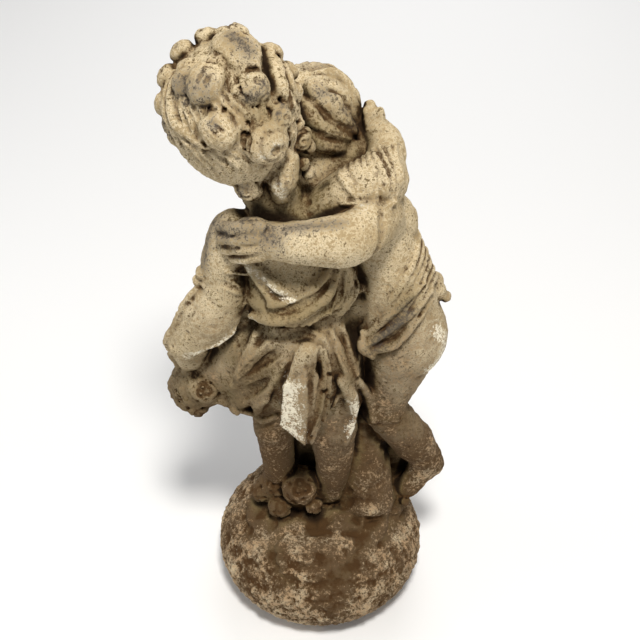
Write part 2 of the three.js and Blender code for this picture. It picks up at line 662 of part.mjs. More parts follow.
// Collapses the edges that matter least until the given number of triangles is left
function facet({ points, triangles }, wanted) {
  const vertexCount = points.length / 3;
  const place = Float64Array.from(points);
  const corners = Int32Array.from(triangles);
  const alive = new Uint8Array(corners.length / 3).fill(1);
  const around = Array.from({ length: vertexCount }, () => []);
  const stamp = new Int32Array(vertexCount);

  // Each vertex sums the squared distances to the planes of its triangles, as ten numbers.
  const quadrics = new Float64Array(vertexCount * 10);
  const normal = new Float64Array(3);
  function crossEdges(ax, ay, az, bx, by, bz, cx, cy, cz) {
    const [ux, uy, uz] = [bx - ax, by - ay, bz - az];
    const [vx, vy, vz] = [cx - ax, cy - ay, cz - az];
    normal[0] = uy * vz - uz * vy;
    normal[1] = uz * vx - ux * vz;
    normal[2] = ux * vy - uy * vx;
    return Math.sqrt(normal[0] ** 2 + normal[1] ** 2 + normal[2] ** 2);
  }
  function addPlane(v, area, x, y, z, w) {
    const terms = [x * x, x * y, x * z, x * w, y * y, y * z, y * w, z * z, z * w, w * w];
    for (let i = 0; i < 10; i++) {
      quadrics[10 * v + i] += area * terms[i];
    }
  }
  for (let t = 0; t < alive.length; t++) {
    const [a, b, c] = [3 * corners[3 * t], 3 * corners[3 * t + 1], 3 * corners[3 * t + 2]];
    const area = crossEdges(
      place[a], place[a + 1], place[a + 2],
      place[b], place[b + 1], place[b + 2],
      place[c], place[c + 1], place[c + 2],
    );
    const [x, y, z] = area > 0 ? normal.map((v) => v / area) : [0, 0, 0];
    const w = -(x * place[a] + y * place[a + 1] + z * place[a + 2]);
    for (const v of [a, b, c]) {
      around[v / 3].push(t);
      addPlane(v / 3, area, x, y, z, w);
    }
  }

  // The point of least error for two vertices' sum, or the best of the ends and the middle
  const sum = new Float64Array(10);
  const target = new Float64Array(3);
  function error(x, y, z) {
    const linear = 2 * (sum[3] * x + sum[6] * y + sum[8] * z) + sum[9];
    const mixed = 2 * (sum[1] * x * y + sum[2] * x * z + sum[5] * y * z);
    return sum[0] * x * x + sum[4] * y * y + sum[7] * z * z + mixed + linear;
  }
  function aim(a, b) {
    for (let i = 0; i < 10; i++) {
      sum[i] = quadrics[10 * a + i] + quadrics[10 * b + i];
    }
    const [ax, ay, az] = [place[3 * a], place[3 * a + 1], place[3 * a + 2]];
    const [bx, by, bz] = [place[3 * b], place[3 * b + 1], place[3 * b + 2]];
    const [mx, my, mz] = [(ax + bx) / 2, (ay + by) / 2, (az + bz) / 2];
    let least = Infinity;
    function consider(x, y, z) {
      const e = error(x, y, z);
      if (e < least) {
        least = e;
        target[0] = x;
        target[1] = y;
        target[2] = z;
      }
    }
    consider(mx, my, mz);
    consider(ax, ay, az);
    consider(bx, by, bz);
    const [xx, xy, xz, xw, yy, yz, yw, zz, zw] = sum;
    const minorX = yy * zz - yz * yz;
    const minorY = xy * zz - yz * xz;
    const minorZ = xy * yz - yy * xz;
    const det = xx * minorX - xy * minorY + xz * minorZ;
    const square = (ax - bx) ** 2 + (ay - by) ** 2 + (az - bz) ** 2;
    if (Math.abs(det) > 1e-4 * (xx + yy + zz) ** 3) {
      const x = (-xw * minorX - xy * (yz * zw - yw * zz) - xz * (yw * yz - yy * zw)) / det;
      const y = (xx * (yz * zw - yw * zz) + xw * minorY + xz * (xz * yw - xy * zw)) / det;
      const z = (xx * (yw * yz - yy * zw) - xy * (xz * yw - xy * zw) - xw * minorZ) / det;
      if ((x - mx) ** 2 + (y - my) ** 2 + (z - mz) ** 2 < square) {
        consider(x, y, z);
      }
    }
    // a little of the edge's length keeps the facets even where the form is flat
    return least + 1e-3 * square;
  }

  // A heap of edges, the cheapest first
  const heap = [];
  function push(entry) {
    let i = heap.push(entry) - 1;
    while (i > 0) {
      const parent = (i - 1) >> 1;
      if (heap[parent].cost <= entry.cost) {
        break;
      }
      heap[i] = heap[parent];
      i = parent;
    }
    heap[i] = entry;
  }
  function pop() {
    const first = heap[0];
    const last = heap.pop();
    if (!heap.length) {
      return first;
    }
    let i = 0;
    for (;;) {
      let child = 2 * i + 1;
      if (child + 1 < heap.length && heap[child + 1].cost < heap[child].cost) {
        child++;
      }
      if (child >= heap.length || last.cost <= heap[child].cost) {
        break;
      }
      heap[i] = heap[child];
      i = child;
    }
    heap[i] = last;
    return first;
  }
  function weigh(a, b) {
    push({ cost: aim(a, b), a, b, stampA: stamp[a], stampB: stamp[b] });
  }
  function neighbours(v) {
    const found = new Set();
    for (const t of around[v]) {
      found.add(corners[3 * t]).add(corners[3 * t + 1]).add(corners[3 * t + 2]);
    }
    found.delete(v);
    return found;
  }
  // How far a triangle is from a sliver: its area over its longest side's square
  function fullness(area, shape) {
    let longest = 0;
    for (let i = 0; i < 3; i++) {
      const from = 3 * i;
      const to = 3 * ((i + 1) % 3);
      const x = shape[from] - shape[to];
      const y = shape[from + 1] - shape[to + 1];
      const z = shape[from + 2] - shape[to + 2];
      longest = Math.max(longest, x * x + y * y + z * z);
    }
    return area / longest;
  }

  // Whether a triangle round a vertex would turn over or become a sliver as it moves to the target
  const shape = new Float64Array(9);
  const before = new Float64Array(3);
  function spoils(v, gone) {
    for (const t of around[v]) {
      const ids = [corners[3 * t], corners[3 * t + 1], corners[3 * t + 2]];
      if (ids[0] === gone || ids[1] === gone || ids[2] === gone) {
        continue;
      }
      for (let i = 0; i < 9; i++) {
        shape[i] = place[3 * ids[(i / 3) | 0] + (i % 3)];
      }
      const oldArea = crossEdges(...shape);
      const oldFullness = fullness(oldArea, shape);
      before.set(normal);
      shape.set(target, 3 * ids.indexOf(v));
      const area = crossEdges(...shape);
      const turned = before[0] * normal[0] + before[1] * normal[1] + before[2] * normal[2];
      const full = fullness(area, shape);
      if (turned < 0.25 * oldArea * area || (full < SLIVER && full < oldFullness)) {
        return true;
      }
    }
    return false;
  }

  function collapse(a, b, shared) {
    for (let i = 0; i < 10; i++) {
      quadrics[10 * a + i] += quadrics[10 * b + i];
    }
    place.set(target, 3 * a);
    for (const t of around[b]) {
      const ids = [corners[3 * t], corners[3 * t + 1], corners[3 * t + 2]];
      if (ids.includes(a)) {
        alive[t] = 0;
      } else {
        corners[3 * t + ids.indexOf(b)] = a;
        around[a].push(t);
      }
    }
    around[b] = [];
    stamp[b] = -1;
    stamp[a]++;
    for (const v of [a, ...shared]) {
      around[v] = around[v].filter((t) => alive[t]);
    }
    for (const v of neighbours(a)) {
      weigh(a, v);
    }
  }

  // Every edge is weighed again in each round, as one refused earlier may pass later.
  let left = alive.length;
  for (let round = 0; round < ROUNDS && left > wanted; round++) {
    for (let v = 0; v < vertexCount; v++) {
      for (const w of neighbours(v)) {
        if (v < w) {
          weigh(v, w);
        }
      }
    }
    while (left > wanted && heap.length) {
      const { a, b, stampA, stampB } = pop();
      if (stamp[a] !== stampA || stamp[b] !== stampB) {
        continue;
      }
      const nextToB = neighbours(b);
      const shared = [...neighbours(a)].filter((v) => nextToB.has(v));
      if (shared.length !== 2) {
        continue;
      }
      aim(a, b);
      if (!spoils(a, b) && !spoils(b, a)) {
        collapse(a, b, shared);
        left -= 2;
      }
    }
  }

  const kept = { points: [], triangles: [] };
  const renamed = new Map();
  for (let t = 0; t < alive.length; t++) {
    for (let i = 0; alive[t] && i < 3; i++) {
      const v = corners[3 * t + i];
      if (!renamed.has(v)) {
        renamed.set(v, kept.points.length / 3);
        kept.points.push(place[3 * v], place[3 * v + 1], place[3 * v + 2]);
      }
      kept.triangles.push(renamed.get(v));
    }
  }
  return kept;
}

// The underside is cut flat at the floor
async function cutAtFloor({ points, triangles }) {
  const wasm = await Module();
  wasm.setup();
  const solidFrom = (vertProperties, triVerts) =>
    new wasm.Manifold(new wasm.Mesh({ numProp: 3, vertProperties, triVerts }));
  const width = 4 * MOUND_DIAMETER;
  const slab = new THREE.BoxGeometry(width, width, MOUND_HEIGHT).translate(0, 0, -MOUND_HEIGHT / 2);
  slab.deleteAttribute("normal");
  slab.deleteAttribute("uv");
  const merged = mergeVertices(slab);
  const below = solidFrom(merged.attributes.position.array, new Uint32Array(merged.index.array));
  const whole = solidFrom(new Float32Array(points), new Uint32Array(triangles));
  const bodies = whole.subtract(below).decompose();
  const largest = bodies.reduce((best, next) => (next.volume() > best.volume() ? next : best));
  const mesh = largest.getMesh();
  return { points: Array.from(mesh.vertProperties), triangles: Array.from(mesh.triVerts) };
}

const MARGIN = 3 * GRAIN;
const side = Math.max(MOUND_RADIUS, 140) + MARGIN;
const depth = Math.max(MOUND_RADIUS, 90) + MARGIN;
const clay = new Clay([-side, -depth, -2 * MOUND_HALF_HEIGHT - MARGIN], [side, depth, PARTS + MARGIN], GRAIN);
addMound(clay);
addGirlBody(clay);
addBoyBody(clay);
addGirlDress(clay);
addBoySash(clay);
addGirlHead(clay);
addBoyHead(clay);
addGirlLeftArm(clay);
addBoyArms(clay);
addGirlRightArm(clay);
addGroundRoses(clay);

const raw = skinOf(clay);
const scale = FIGURE_HEIGHT / PARTS;
raw.points = raw.points.map((v, i) => v * scale + (i % 3 === 2 ? MOUND_HEIGHT : 0));
const faceted = facet(await cutAtFloor(raw), FACETS);
for (let i = 2; i < faceted.points.length; i += 3) {
  faceted.points[i] = faceted.points[i] < 0.3 ? 0 : faceted.points[i];
}

const geometry = new THREE.BufferGeometry();
geometry.setAttribute("position", new THREE.BufferAttribute(new Float32Array(faceted.points), 3));
geometry.setIndex(faceted.triangles);
geometry.computeVertexNormals();
const concrete = new THREE.MeshStandardMaterial({ color: 0xa39a80, roughness: 0.95, metalness: 0 });
const sculpture = new THREE.Mesh(geometry, concrete);
sculpture.name = "cherub_sculpture";

const group = new THREE.Group();
group.add(sculpture);

export default group;
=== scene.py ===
from math import cos, pi, radians, sin, sqrt

import bmesh
import bpy
import numpy as np
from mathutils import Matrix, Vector
from mathutils.kdtree import KDTree


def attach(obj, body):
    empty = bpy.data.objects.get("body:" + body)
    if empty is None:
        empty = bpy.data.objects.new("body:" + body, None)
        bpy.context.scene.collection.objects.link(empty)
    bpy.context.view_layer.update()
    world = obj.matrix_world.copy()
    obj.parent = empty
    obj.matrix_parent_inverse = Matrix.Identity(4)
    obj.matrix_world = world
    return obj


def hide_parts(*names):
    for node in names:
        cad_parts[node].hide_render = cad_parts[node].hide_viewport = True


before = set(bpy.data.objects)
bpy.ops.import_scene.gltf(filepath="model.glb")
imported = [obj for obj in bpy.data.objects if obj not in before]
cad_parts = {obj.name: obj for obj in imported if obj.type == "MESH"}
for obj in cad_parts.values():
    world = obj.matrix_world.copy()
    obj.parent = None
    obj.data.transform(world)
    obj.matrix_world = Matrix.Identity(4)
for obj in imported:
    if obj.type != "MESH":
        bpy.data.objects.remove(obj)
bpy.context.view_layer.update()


# The viewpoint: a pale floor under soft studio light, seen from above at the photograph's angle.
# One small lamp above shapes the shadows, and three broad ones and the sky fill them.

CAMERA_PLACE = (0, -0.7425, 0.9761)
CAMERA_TILT = 48.7
LENS, SENSOR = 66.15, 36
FLOOR_SIZE, FLOOR_DROP = 8, 0.0004
SKY_STRENGTH = 0.22

bpy.ops.mesh.primitive_plane_add(size=FLOOR_SIZE, location=(0, 0, -FLOOR_DROP))
floor = bpy.context.object
floor.name = "pale_floor"
paint = bpy.data.materials.new("pale_floor")
paint.use_nodes = True
shader = paint.node_tree.nodes["Principled BSDF"]
shader.inputs["Base Color"].default_value = (0.93, 0.93, 0.93, 1)
shader.inputs["Roughness"].default_value = 0.9
floor.data.materials.append(paint)
for name, place, aim, size, power, tint in [
    ("key_above", (0.1, -0.7, 1.9), (0, 0, 0.3), 0.3, 31, (1, 0.975, 0.93)),
    ("soft_right", (1.6, -0.5, 0.8), (0, 0, 0.3), 1.0, 4, (1, 0.98, 0.95)),
    ("soft_left", (-1.5, 0.0, 0.6), (0, 0, 0.25), 0.9, 6, (0.95, 0.975, 1)),
    ("soft_back", (0.2, 1.6, 1.2), (0, 0, 0.3), 1.4, 12, (1, 1, 1)),
]:
    light = bpy.data.lights.new(name, "AREA")
    light.size, light.energy, light.color = size, power, tint
    lamp = bpy.data.objects.new(name, light)
    lamp.location = place
    lamp.rotation_euler = (Vector(aim) - Vector(place)).to_track_quat("-Z", "Y").to_euler()
    bpy.context.collection.objects.link(lamp)
sky = bpy.data.worlds.new("studio")
sky.use_nodes = True
sky.node_tree.nodes["Background"].inputs["Color"].default_value = (1, 1, 1, 1)
sky.node_tree.nodes["Background"].inputs["Strength"].default_value = SKY_STRENGTH
bpy.context.scene.world = sky
bpy.context.scene.view_settings.view_transform = "Standard"
lens = bpy.data.cameras.new("viewpoint")
lens.sensor_width = SENSOR
lens.lens = LENS
camera = bpy.data.objects.new("viewpoint", lens)
camera.location = CAMERA_PLACE
camera.rotation_euler = (radians(CAMERA_TILT), 0, 0)
bpy.context.collection.objects.link(camera)
bpy.context.scene.camera = camera


# The mound: a round rock of cast concrete, flat underneath, that everything else grows out of. The
# whole sculpture is one casting, so it is modelled as one lump of clay, in parts of the figures'
# height. The clay is a grid of distances to its surface, and shapes are added to it and cut from it.

PARTS = 470
FIGURE_HEIGHT = 0.490
MOUND_HEIGHT = 0.102
PART = FIGURE_HEIGHT / PARTS
MOUND_RADIUS = 0.100 / PART
REST_SHARE = 0.75
FLOOR = -MOUND_HEIGHT / PART
MOUND_HALF_HEIGHT = -FLOOR / (1 + sqrt(1 - REST_SHARE ** 2))
GRAIN = 1.3
FAR = 40.0
WORK_SPACE = (-146, -112, -104), (132, 112, 480)


def vec(values):
    return np.array(values, dtype=float)


def unit(v):
    v = vec(v)
    return v / np.linalg.norm(v)


def turned(degrees):
    # the turn about X, Y and Z that the solid's shapes use
    a, b, c = np.radians(degrees)
    about_x = vec([[1, 0, 0], [0, cos(a), -sin(a)], [0, sin(a), cos(a)]])
    about_y = vec([[cos(b), 0, sin(b)], [0, 1, 0], [-sin(b), 0, cos(b)]])
    about_z = vec([[cos(c), -sin(c), 0], [sin(c), cos(c), 0], [0, 0, 1]])
    return about_x @ about_y @ about_z


def ball(centre, radius):
    c = vec(centre)

    def distance(x, y, z):
        return np.sqrt((x - c[0]) ** 2 + (y - c[1]) ** 2 + (z - c[2]) ** 2) - radius

    return c - radius, c + radius, distance


def limb(start, start_radius, end, end_radius):
    a, b = vec(start), vec(end)
    v = b - a
    square = v @ v

    def distance(x, y, z):
        px, py, pz = x - a[0], y - a[1], z - a[2]
        share = np.clip((px * v[0] + py * v[1] + pz * v[2]) / square, 0, 1)
        away = (px - v[0] * share) ** 2 + (py - v[1] * share) ** 2 + (pz - v[2] * share) ** 2
        return np.sqrt(away) - (start_radius + (end_radius - start_radius) * share)

    low = np.minimum(a - start_radius, b - end_radius)
    high = np.maximum(a + start_radius, b + end_radius)
    return low, high, distance


def egg(centre, radii, turn=(0, 0, 0), axes=None):
    c, r = vec(centre), vec(radii)
    m = turned(turn) if axes is None else axes
    reach = np.sqrt(((m * r) ** 2).sum(1))

    def distance(x, y, z):
        px, py, pz = x - c[0], y - c[1], z - c[2]
        whole = 0
        slope = 0
        for i in range(3):
            u = (px * m[0, i] + py * m[1, i] + pz * m[2, i]) / r[i]
            whole = whole + u * u
            slope = slope + (u / r[i]) ** 2
        whole = np.sqrt(whole)
        return whole * (whole - 1) / np.sqrt(np.maximum(slope, 1e-9))

    return c - reach, c + reach, distance


class Clay:
    def __init__(self, low, high, grain):
        self.low = vec(low)
        self.grain = grain
        self.count = np.ceil((vec(high) - self.low) / grain).astype(int) + 1
        self.field = np.full(self.count, FAR, dtype=np.float32)

    def change(self, shape, reach, combine):
        low, high, distance = shape
        first = np.clip(np.floor((low - reach - self.low) / self.grain), 0, self.count).astype(int)
        last = np.clip(np.ceil((high + reach - self.low) / self.grain) + 1, 0, self.count).astype(int)
        if (last <= first).any():
            return
        lines = [
            (self.low[i] + self.grain * np.arange(first[i], last[i])).astype(np.float32)
            for i in range(3)
        ]
        near = tuple(slice(first[i], last[i]) for i in range(3))
        d = distance(lines[0][:, None, None], lines[1][None, :, None], lines[2][None, None, :])
        self.field[near] = combine(self.field[near], d)

    def add(self, shape, blend=3.0):
        def combine(old, d):
            near = np.maximum(blend - np.abs(old - d), 0) / blend
            return np.minimum(old, d) - near * near * blend / 4

        self.change(shape, blend + 12, combine)

    def cut(self, shape, blend=3.0):
        def combine(old, d):
            near = np.maximum(blend - np.abs(old + d), 0) / blend
            return np.maximum(old, -d) + near * near * blend / 4

        self.change(shape, blend + self.grain, combine)

    def distance(self, points):
        place = np.clip((vec(points) - self.low) / self.grain, 0, self.count - 1.001)
        knot = place.astype(int)
        share = place - knot
        total = 0
        for corner in range(8):
            step = vec([corner & 1, corner >> 1 & 1, corner >> 2 & 1]).astype(int)
            weight = np.prod(np.where(step, share, 1 - share), axis=-1)
            at = knot + step
            total = total + weight * self.field[at[..., 0], at[..., 1], at[..., 2]]
        return total

    def outward(self, points):
        points = vec(points)
        slopes = []
        for i in range(3):
            step = np.zeros(3)
            step[i] = 1.2
            slopes.append(self.distance(points + step) - self.distance(points - step))
        slopes = np.stack(slopes, -1) + 1e-9
        return slopes / np.linalg.norm(slopes, axis=-1, keepdims=True)

    def on_surface(self, points, rise=0.0):
        points = vec(points)
        for _ in range(6):
            step = rise - self.distance(points)
            points = points + self.outward(points) * step[..., None]
        return points

    def lay(self, points, radii, rise=0.0, blend=2.5):
        self.add(rope(self.on_surface(points, rise), radii), blend)

    def score(self, points, radii, rise=0.5, blend=1.5):
        # a soft channel, shallower than the tool is round
        tool = max(radii)
        self.cut(rope(self.on_surface(points, rise + 0.4 * tool), radii), blend + 0.7 * tool)


def bent(points, pieces):
    # stations along a smooth curve through the points
    p = vec(points)
    p = np.vstack([2 * p[0] - p[1], p, 2 * p[-1] - p[-2]])
    stations = []
    for t in np.linspace(0, len(p) - 3, pieces + 1):
        i = min(int(t), len(p) - 4)
        u = t - i
        a, b, c, d = p[i:i + 4]
        stations.append(
            b + 0.5 * u * (c - a + u * (2 * a - 5 * b + 4 * c - d + u * (3 * (b - c) + d - a)))
        )
    return vec(stations)


def rope(points, radii):
    # a fold, lock or finger: a round rope whose radius runs through the radii
    pieces = max(4, 4 * (len(points) - 1))
    stations = bent(points, pieces)
    sizes = np.interp(np.linspace(0, 1, pieces + 1), np.linspace(0, 1, len(radii)), radii)
    links = [
        limb(stations[i], sizes[i], stations[i + 1], sizes[i + 1])
        for i in range(pieces)
    ]

    def distance(x, y, z):
        nearest = links[0][2](x, y, z)
        for link in links[1:]:
            nearest = np.minimum(nearest, link[2](x, y, z))
        return nearest

    low = np.min([link[0] for link in links], axis=0)
    high = np.max([link[1] for link in links], axis=0)
    return low, high, distance


clay = Clay(*WORK_SPACE, GRAIN)
add, cut, lay, score = clay.add, clay.cut, clay.lay, clay.score


def on_mound(x, y, height=0.0):
    across = min((x * x + y * y) / MOUND_RADIUS ** 2, 1)
    return vec([x, y, MOUND_HALF_HEIGHT * (sqrt(1 - across) - 1) + height])


rocks = [(egg((0, 0, -MOUND_HALF_HEIGHT), (MOUND_RADIUS, MOUND_RADIUS, MOUND_HALF_HEIGHT)), 3)]
# flat slabs of rock: degrees round from the front, share of the way out, half-width
for bearing, out, half in [
    (-24, 0.3, 32), (22, 0.42, 30), (-8, 0.62, 32), (52, 0.5, 26), (-70, 0.5, 28),
    (95, 0.55, 30), (150, 0.5, 34), (205, 0.55, 30), (250, 0.45, 26),
]:
    angle = radians(bearing)
    x = sin(angle) * out * MOUND_RADIUS
    y = -cos(angle) * out * MOUND_RADIUS
    rocks.append((egg(on_mound(x, y, -4), (half, half * 0.8, 8), (out * 40, 0, bearing)), 3))
# the rock that the legs are cast against
rocks += [
    (limb((38, 18, 104), 15, on_mound(36, 8, 8), 26), 8),
    (limb((16, 24, 118), 20, on_mound(12, 30, 4), 26), 8),
    (limb((40, 8, 62), 16, on_mound(46, -12, 16), 20), 12),
    (ball((62, 4, -8), 18), 8),
    (egg((-14, 18, 50), (24, 10, 62)), 8),
    (limb((66, 30, 70), 12, (70, 30, -10), 20), 8),
]
for rock, blend in rocks:
    add(rock, blend)


# The girl: her body under the dress, modelled in the same concrete with the plump limbs of a
# small child. A foot, hers or his, is a heel and an instep with a small ball for each toe.

def foot(heel, ankle, toes, size):
    forward = unit(vec(toes) - heel)
    side = unit(np.cross(forward, vec(ankle) - heel))
    add(ball(heel, size * 0.66), 4)
    add(limb(heel, size * 0.55, toes - forward * size * 0.6, size * 0.54), 5)
    add(limb(ankle, size * 0.62, toes - forward * size, size * 0.44), 6)
    for toe in range(5):
        lane = (toe - 2) * size * 0.28
        tip = toes + side * lane - forward * abs(lane) * 0.25
        add(ball(tip, size * (0.25 if toe == 0 else 0.2)), 1.2)


add(limb((-26, -4, 314), 21, (-46, 0, 368), 23), 10)
add(egg((-20, -4, 280), (40, 30, 48)), 8)
add(limb((-56, -12, 302), 18, (4, -2, 316), 18), 12)
add(limb((-30, 4, 332), 13, (2, 22, 338), 14), 6)
add(egg((-18, -4, 205), (41, 34, 60)), 10)


# The boy: he leans on her from the right, bare but for a sash, one heel off the ground. He is
# cast in one with her, as plump limbs that run into each other, creased at the knee and the seat.

add(rope([(66, 8, 200), (57, 10, 245), (44, 12, 285), (36, 14, 312)], [35, 32, 29, 25]), 8)
add(ball((73, 4, 194), 30), 10)
add(limb((28, 16, 322), 21, (2, 40, 350), 21), 8)
add(limb((34, 22, 328), 18, (22, 38, 354), 16), 6)
add(limb((44, -2, 314), 19, (26, 34, 314), 19), 8)
add(limb((66, 2, 184), 32, (53, 0, 118), 19), 8)
add(limb((55, 0, 112), 19, (82, 6, 66), 18), 6)
add(limb((82, 6, 66), 18, (96, 8, 42), 14), 4)
foot(vec((100, 9, 31)), (95, 7, 42), vec((72, -3, 0)), 19)
add(limb((60, 32, 182), 31, (44, 44, 104), 22), 8)
add(limb((44, 44, 104), 21, (50, 50, 24), 13), 6)
foot(on_mound(52, 48, 10), (50, 49, 24), on_mound(24, 58, 8), 16)
# the two bodies are cast together all the way down her side
add(rope([(26, 6, 300), (27, 4, 262), (26, 4, 222), (28, 4, 190)], [13, 15, 14, 12]), 6)
# the crease behind the knee, the fold under the seat and the furrow of the spine
score([(36, -18, 112), (56, -22, 110), (76, -14, 108)], [1, 2, 1])
score([(76, -26, 172), (96, -14, 166), (102, 8, 168)], [1, 2, 1])
score([(60, -24, 292), (72, -20, 262), (84, -16, 236)], [1, 2.5, 1], 0.8)


# Her dress: a skirt gathered up on the left over the roses, and a blouse that bulges over the
# waist and hangs in swags, all carved in the same concrete as the body

def between(a, b, share):
    return vec(a) + (vec(b) - vec(a)) * share


def shifted(line, x, y, z):
    return [vec(p) + (x, y, z) for p in line]


add(limb((-18, -5, 215), 37, (-17, -4, 172), 44), 8)
add(limb((-52, -4, 196), 30, (-94, 8, 140), 22), 10)
add(limb((12, -12, 190), 22, (18, -14, 138), 16), 8)
add(limb((-46, 0, 268), 22, (-84, 0, 214), 20), 6)
add(limb((-56, -8, 166), 24, (-66, -6, 140), 17), 6)
cut(egg((-16, -4, 106), (36, 32, 22)), 4)
# legs
add(limb((-38, -6, 160), 22, (-39, -12, 105), 17), 6)
add(limb((-39, -12, 105), 17, (-36, -6, 28), 13), 6)
add(limb((10, -8, 160), 24, (10, -15, 108), 21), 6)
add(rope([(10, -15, 108), (12, -14, 60), (8, -6, 14)], [21, 16, 14]), 5)
foot(on_mound(-36, -4, 9), (-36, -4, 20), on_mound(-38, 28, 7), 16)
foot(on_mound(8, -4, 9), (9, -4, 22), on_mound(0, 30, 7), 16)
# long folds from the waist to the gathered side and to the hem, a crease beside each
for line in [
    [(-44, -26, 240), (-50, -30, 222), (-60, -36, 199), (-66, -37, 178)],
    [(-30, -42, 238), (-38, -40, 223), (-50, -40, 207), (-68, -36, 184)],
    [(-14, -48, 228), (-33, -45, 205), (-50, -40, 187), (-74, -32, 164)],
    [(-22, -50, 210), (-34, -48, 190), (-44, -44, 170), (-66, -28, 140)],
    [(-36, -44, 172), (-48, -40, 152), (-56, -32, 130)],
    [(-3, -46, 238), (-8, -49, 226), (-13, -52, 212)],
    [(2, -42, 234), (4, -46, 211), (10, -46, 186)],
    [(7, -40, 232), (14, -38, 206), (20, -38, 182), (24, -40, 160)],
    [(13, -34, 230), (21, -34, 204), (27, -36, 184), (34, -34, 160)],
    [(20, -22, 222), (27, -28, 202), (31, -34, 186)],
]:
    lay(line, [2, 4.4, 4.8, 3], 1.0, 4)
    score(shifted(line, 4.5, -2, 4), [0.9, 2, 2.2, 1.4], 0.6, 2)
    score(shifted(line, -3, -2, -3), [0.4, 1, 1.1, 0.5], 0.1, 0.6)
# the ragged hem
for line in [
    [(-77, -20, 130), (-59, -26, 128), (-49, -28, 124), (-36, -34, 132)],
    [(-92, -10, 138), (-84, -16, 130), (-70, -22, 128)],
]:
    lay(line, [3, 3.6, 3], 0.6, 1.5)
    score(shifted(line, 0, 2, -7), [2, 2.6, 2], 0.4, 1.2)
# plainer folds on the far side
for fold in range(11):
    share = fold / 10
    start = between((-50, 40, 226), (16, 40, 226), share)
    end = between((-74, 44, 136), (22, 44, 136), share)
    line = [start, between(start, end, 0.5), end]
    if fold % 2 == 0:
        lay(line, [3, 5.5, 5], 1, 4)
    else:
        score(line, [1.5, 2.2, 1.5], 0.6, 2)
# the blouse, heavy over the waist, and the rolled hem that overhangs the skirt
add(egg((-18, -8, 266), (44, 37, 33)), 4)
add(egg((-22, -12, 256), (39, 35, 18), (0, 6, 0)), 4)
hem = [
    (-64, -4, 252), (-60, -24, 250), (-52, -34, 244), (-38, -42, 241), (-22, -44, 241),
    (-8, -44, 244), (6, -42, 250), (16, -34, 256), (22, -26, 262), (28, 0, 258), (22, 24, 250),
    (-16, 33, 246), (-50, 24, 250), (-64, -4, 252),
]
lay(hem, [3.2, 3.4], 0.4, 4)
score(shifted(hem[:10], 0, 0, -8.5), [3.6, 3.6], -1.2, 1)
for gather in range(14):
    x = -54 + gather * 6
    dip = 246 - 8 * sin(gather / 13 * pi)
    score([(x, -48, dip - 7), (x + 1, -48, dip), (x + 3, -46, dip + 9)], [0.7, 1.2, 0.5], 0, 0.6)
# swags from the armpit and the long one from shoulder to shoulder
lay([(-54, -31, 298), (-43, -34, 287), (-31, -40, 279), (-16, -44, 275)], [2.5, 4.5, 4, 2], 0.6, 2.5)
lay([(-56, -34, 292), (-48, -39, 280), (-37, -44, 270), (-26, -47, 264)], [2.5, 4.5, 4, 2], 0.6, 2.5)
score([(-54, -33, 294), (-45, -37, 283), (-32, -43, 273)], [1, 2.2, 1], 0.2, 1)
score([(-56, -34, 284), (-47, -41, 272), (-34, -46, 262)], [1, 2.2, 1], 0.2, 1)
lay([(12, -24, 286), (8, -37, 277), (1, -44, 268), (-15, -48, 259), (-34, -45, 253), (-56, -30, 246)],
    [2.5, 4.5, 5.5, 5.5, 4.5, 3], 1.8, 3)
lay([(8, -25, 290), (2, -36, 284), (-8, -44, 277), (-22, -47, 271), (-38, -45, 266)],
    [2, 3.6, 4, 3.4, 2], 1, 2.5)
score([(8, -36, 270), (-2, -48, 261), (-17, -52, 252), (-34, -49, 247)], [1, 2.4, 2.4, 1.2], 0, 1)
score([(4, -34, 278), (-8, -46, 270), (-24, -50, 265), (-40, -46, 260)], [0.8, 1.8, 1.8, 0.8], 0, 1)
cut(egg((-10, -60, 276), (24, 15, 13), (0, 24, 0)), 7)
# the flat panel down her right side, finely pleated
add(egg((15, -19, 262), (11, 14, 27), (0, 4, 0)), 6)
for line in [
    [(13, -28, 284), (13, -36, 270), (9, -41, 252)],
    [(18, -26, 282), (18, -33, 268), (15, -36, 250)],
    [(23, -22, 280), (23, -28, 264), (20, -30, 246)],
    [(27, -16, 278), (27, -22, 262), (24, -24, 244)],
]:
    lay(line, [1, 1.7, 1], 0.6, 1)
    score(shifted(line, 2.3, 0, 0), [0.6, 1.1, 0.6], -0.1, 0.6)
for swag in range(4):
    drop = 14 + 12 * swag
    lay([(-50, 30, 300), (-18, 40, 292 - drop), (12, 30, 306)], [2, 3, 2], 1, 3)
    score([(-50, 30, 295), (-18, 40, 286 - drop), (12, 30, 300)], [1, 2, 1], 0.5, 1.5)


def drill(place, outward, wide, lean=0.0):
    # a short deep slit
    n = unit(outward)
    e = unit(np.cross(n, (sin(lean), 0.2, cos(lean))))
    line = [place - e * wide * 1.4 + n, place - n * wide * 1.2, place + e * wide * 1.4 + n]
    cut(rope(line, [wide * 0.5, wide, wide * 0.5]), 1)


def panel(corners, thick):
    # a flat plate with straight edges; its corners run round it, anticlockwise seen from outside
    c = vec(corners)
    middle = c.mean(0)
    across = unit(sum(np.cross(c[i] - middle, c[(i + 1) % len(c)] - middle) for i in range(len(c))))
    sides = [unit(np.cross(c[(i + 1) % len(c)] - c[i], across)) for i in range(len(c))]

    def distance(x, y, z):
        def height(n, at):
            return (x - at[0]) * n[0] + (y - at[1]) * n[1] + (z - at[2]) * n[2]

        most = np.abs(height(across, middle)) - thick / 2 + 1
        for side, corner in zip(sides, c):
            most = np.maximum(most, height(side, corner) + 1)
        return most - 1

    return c.min(0) - thick, c.max(0) + thick, distance


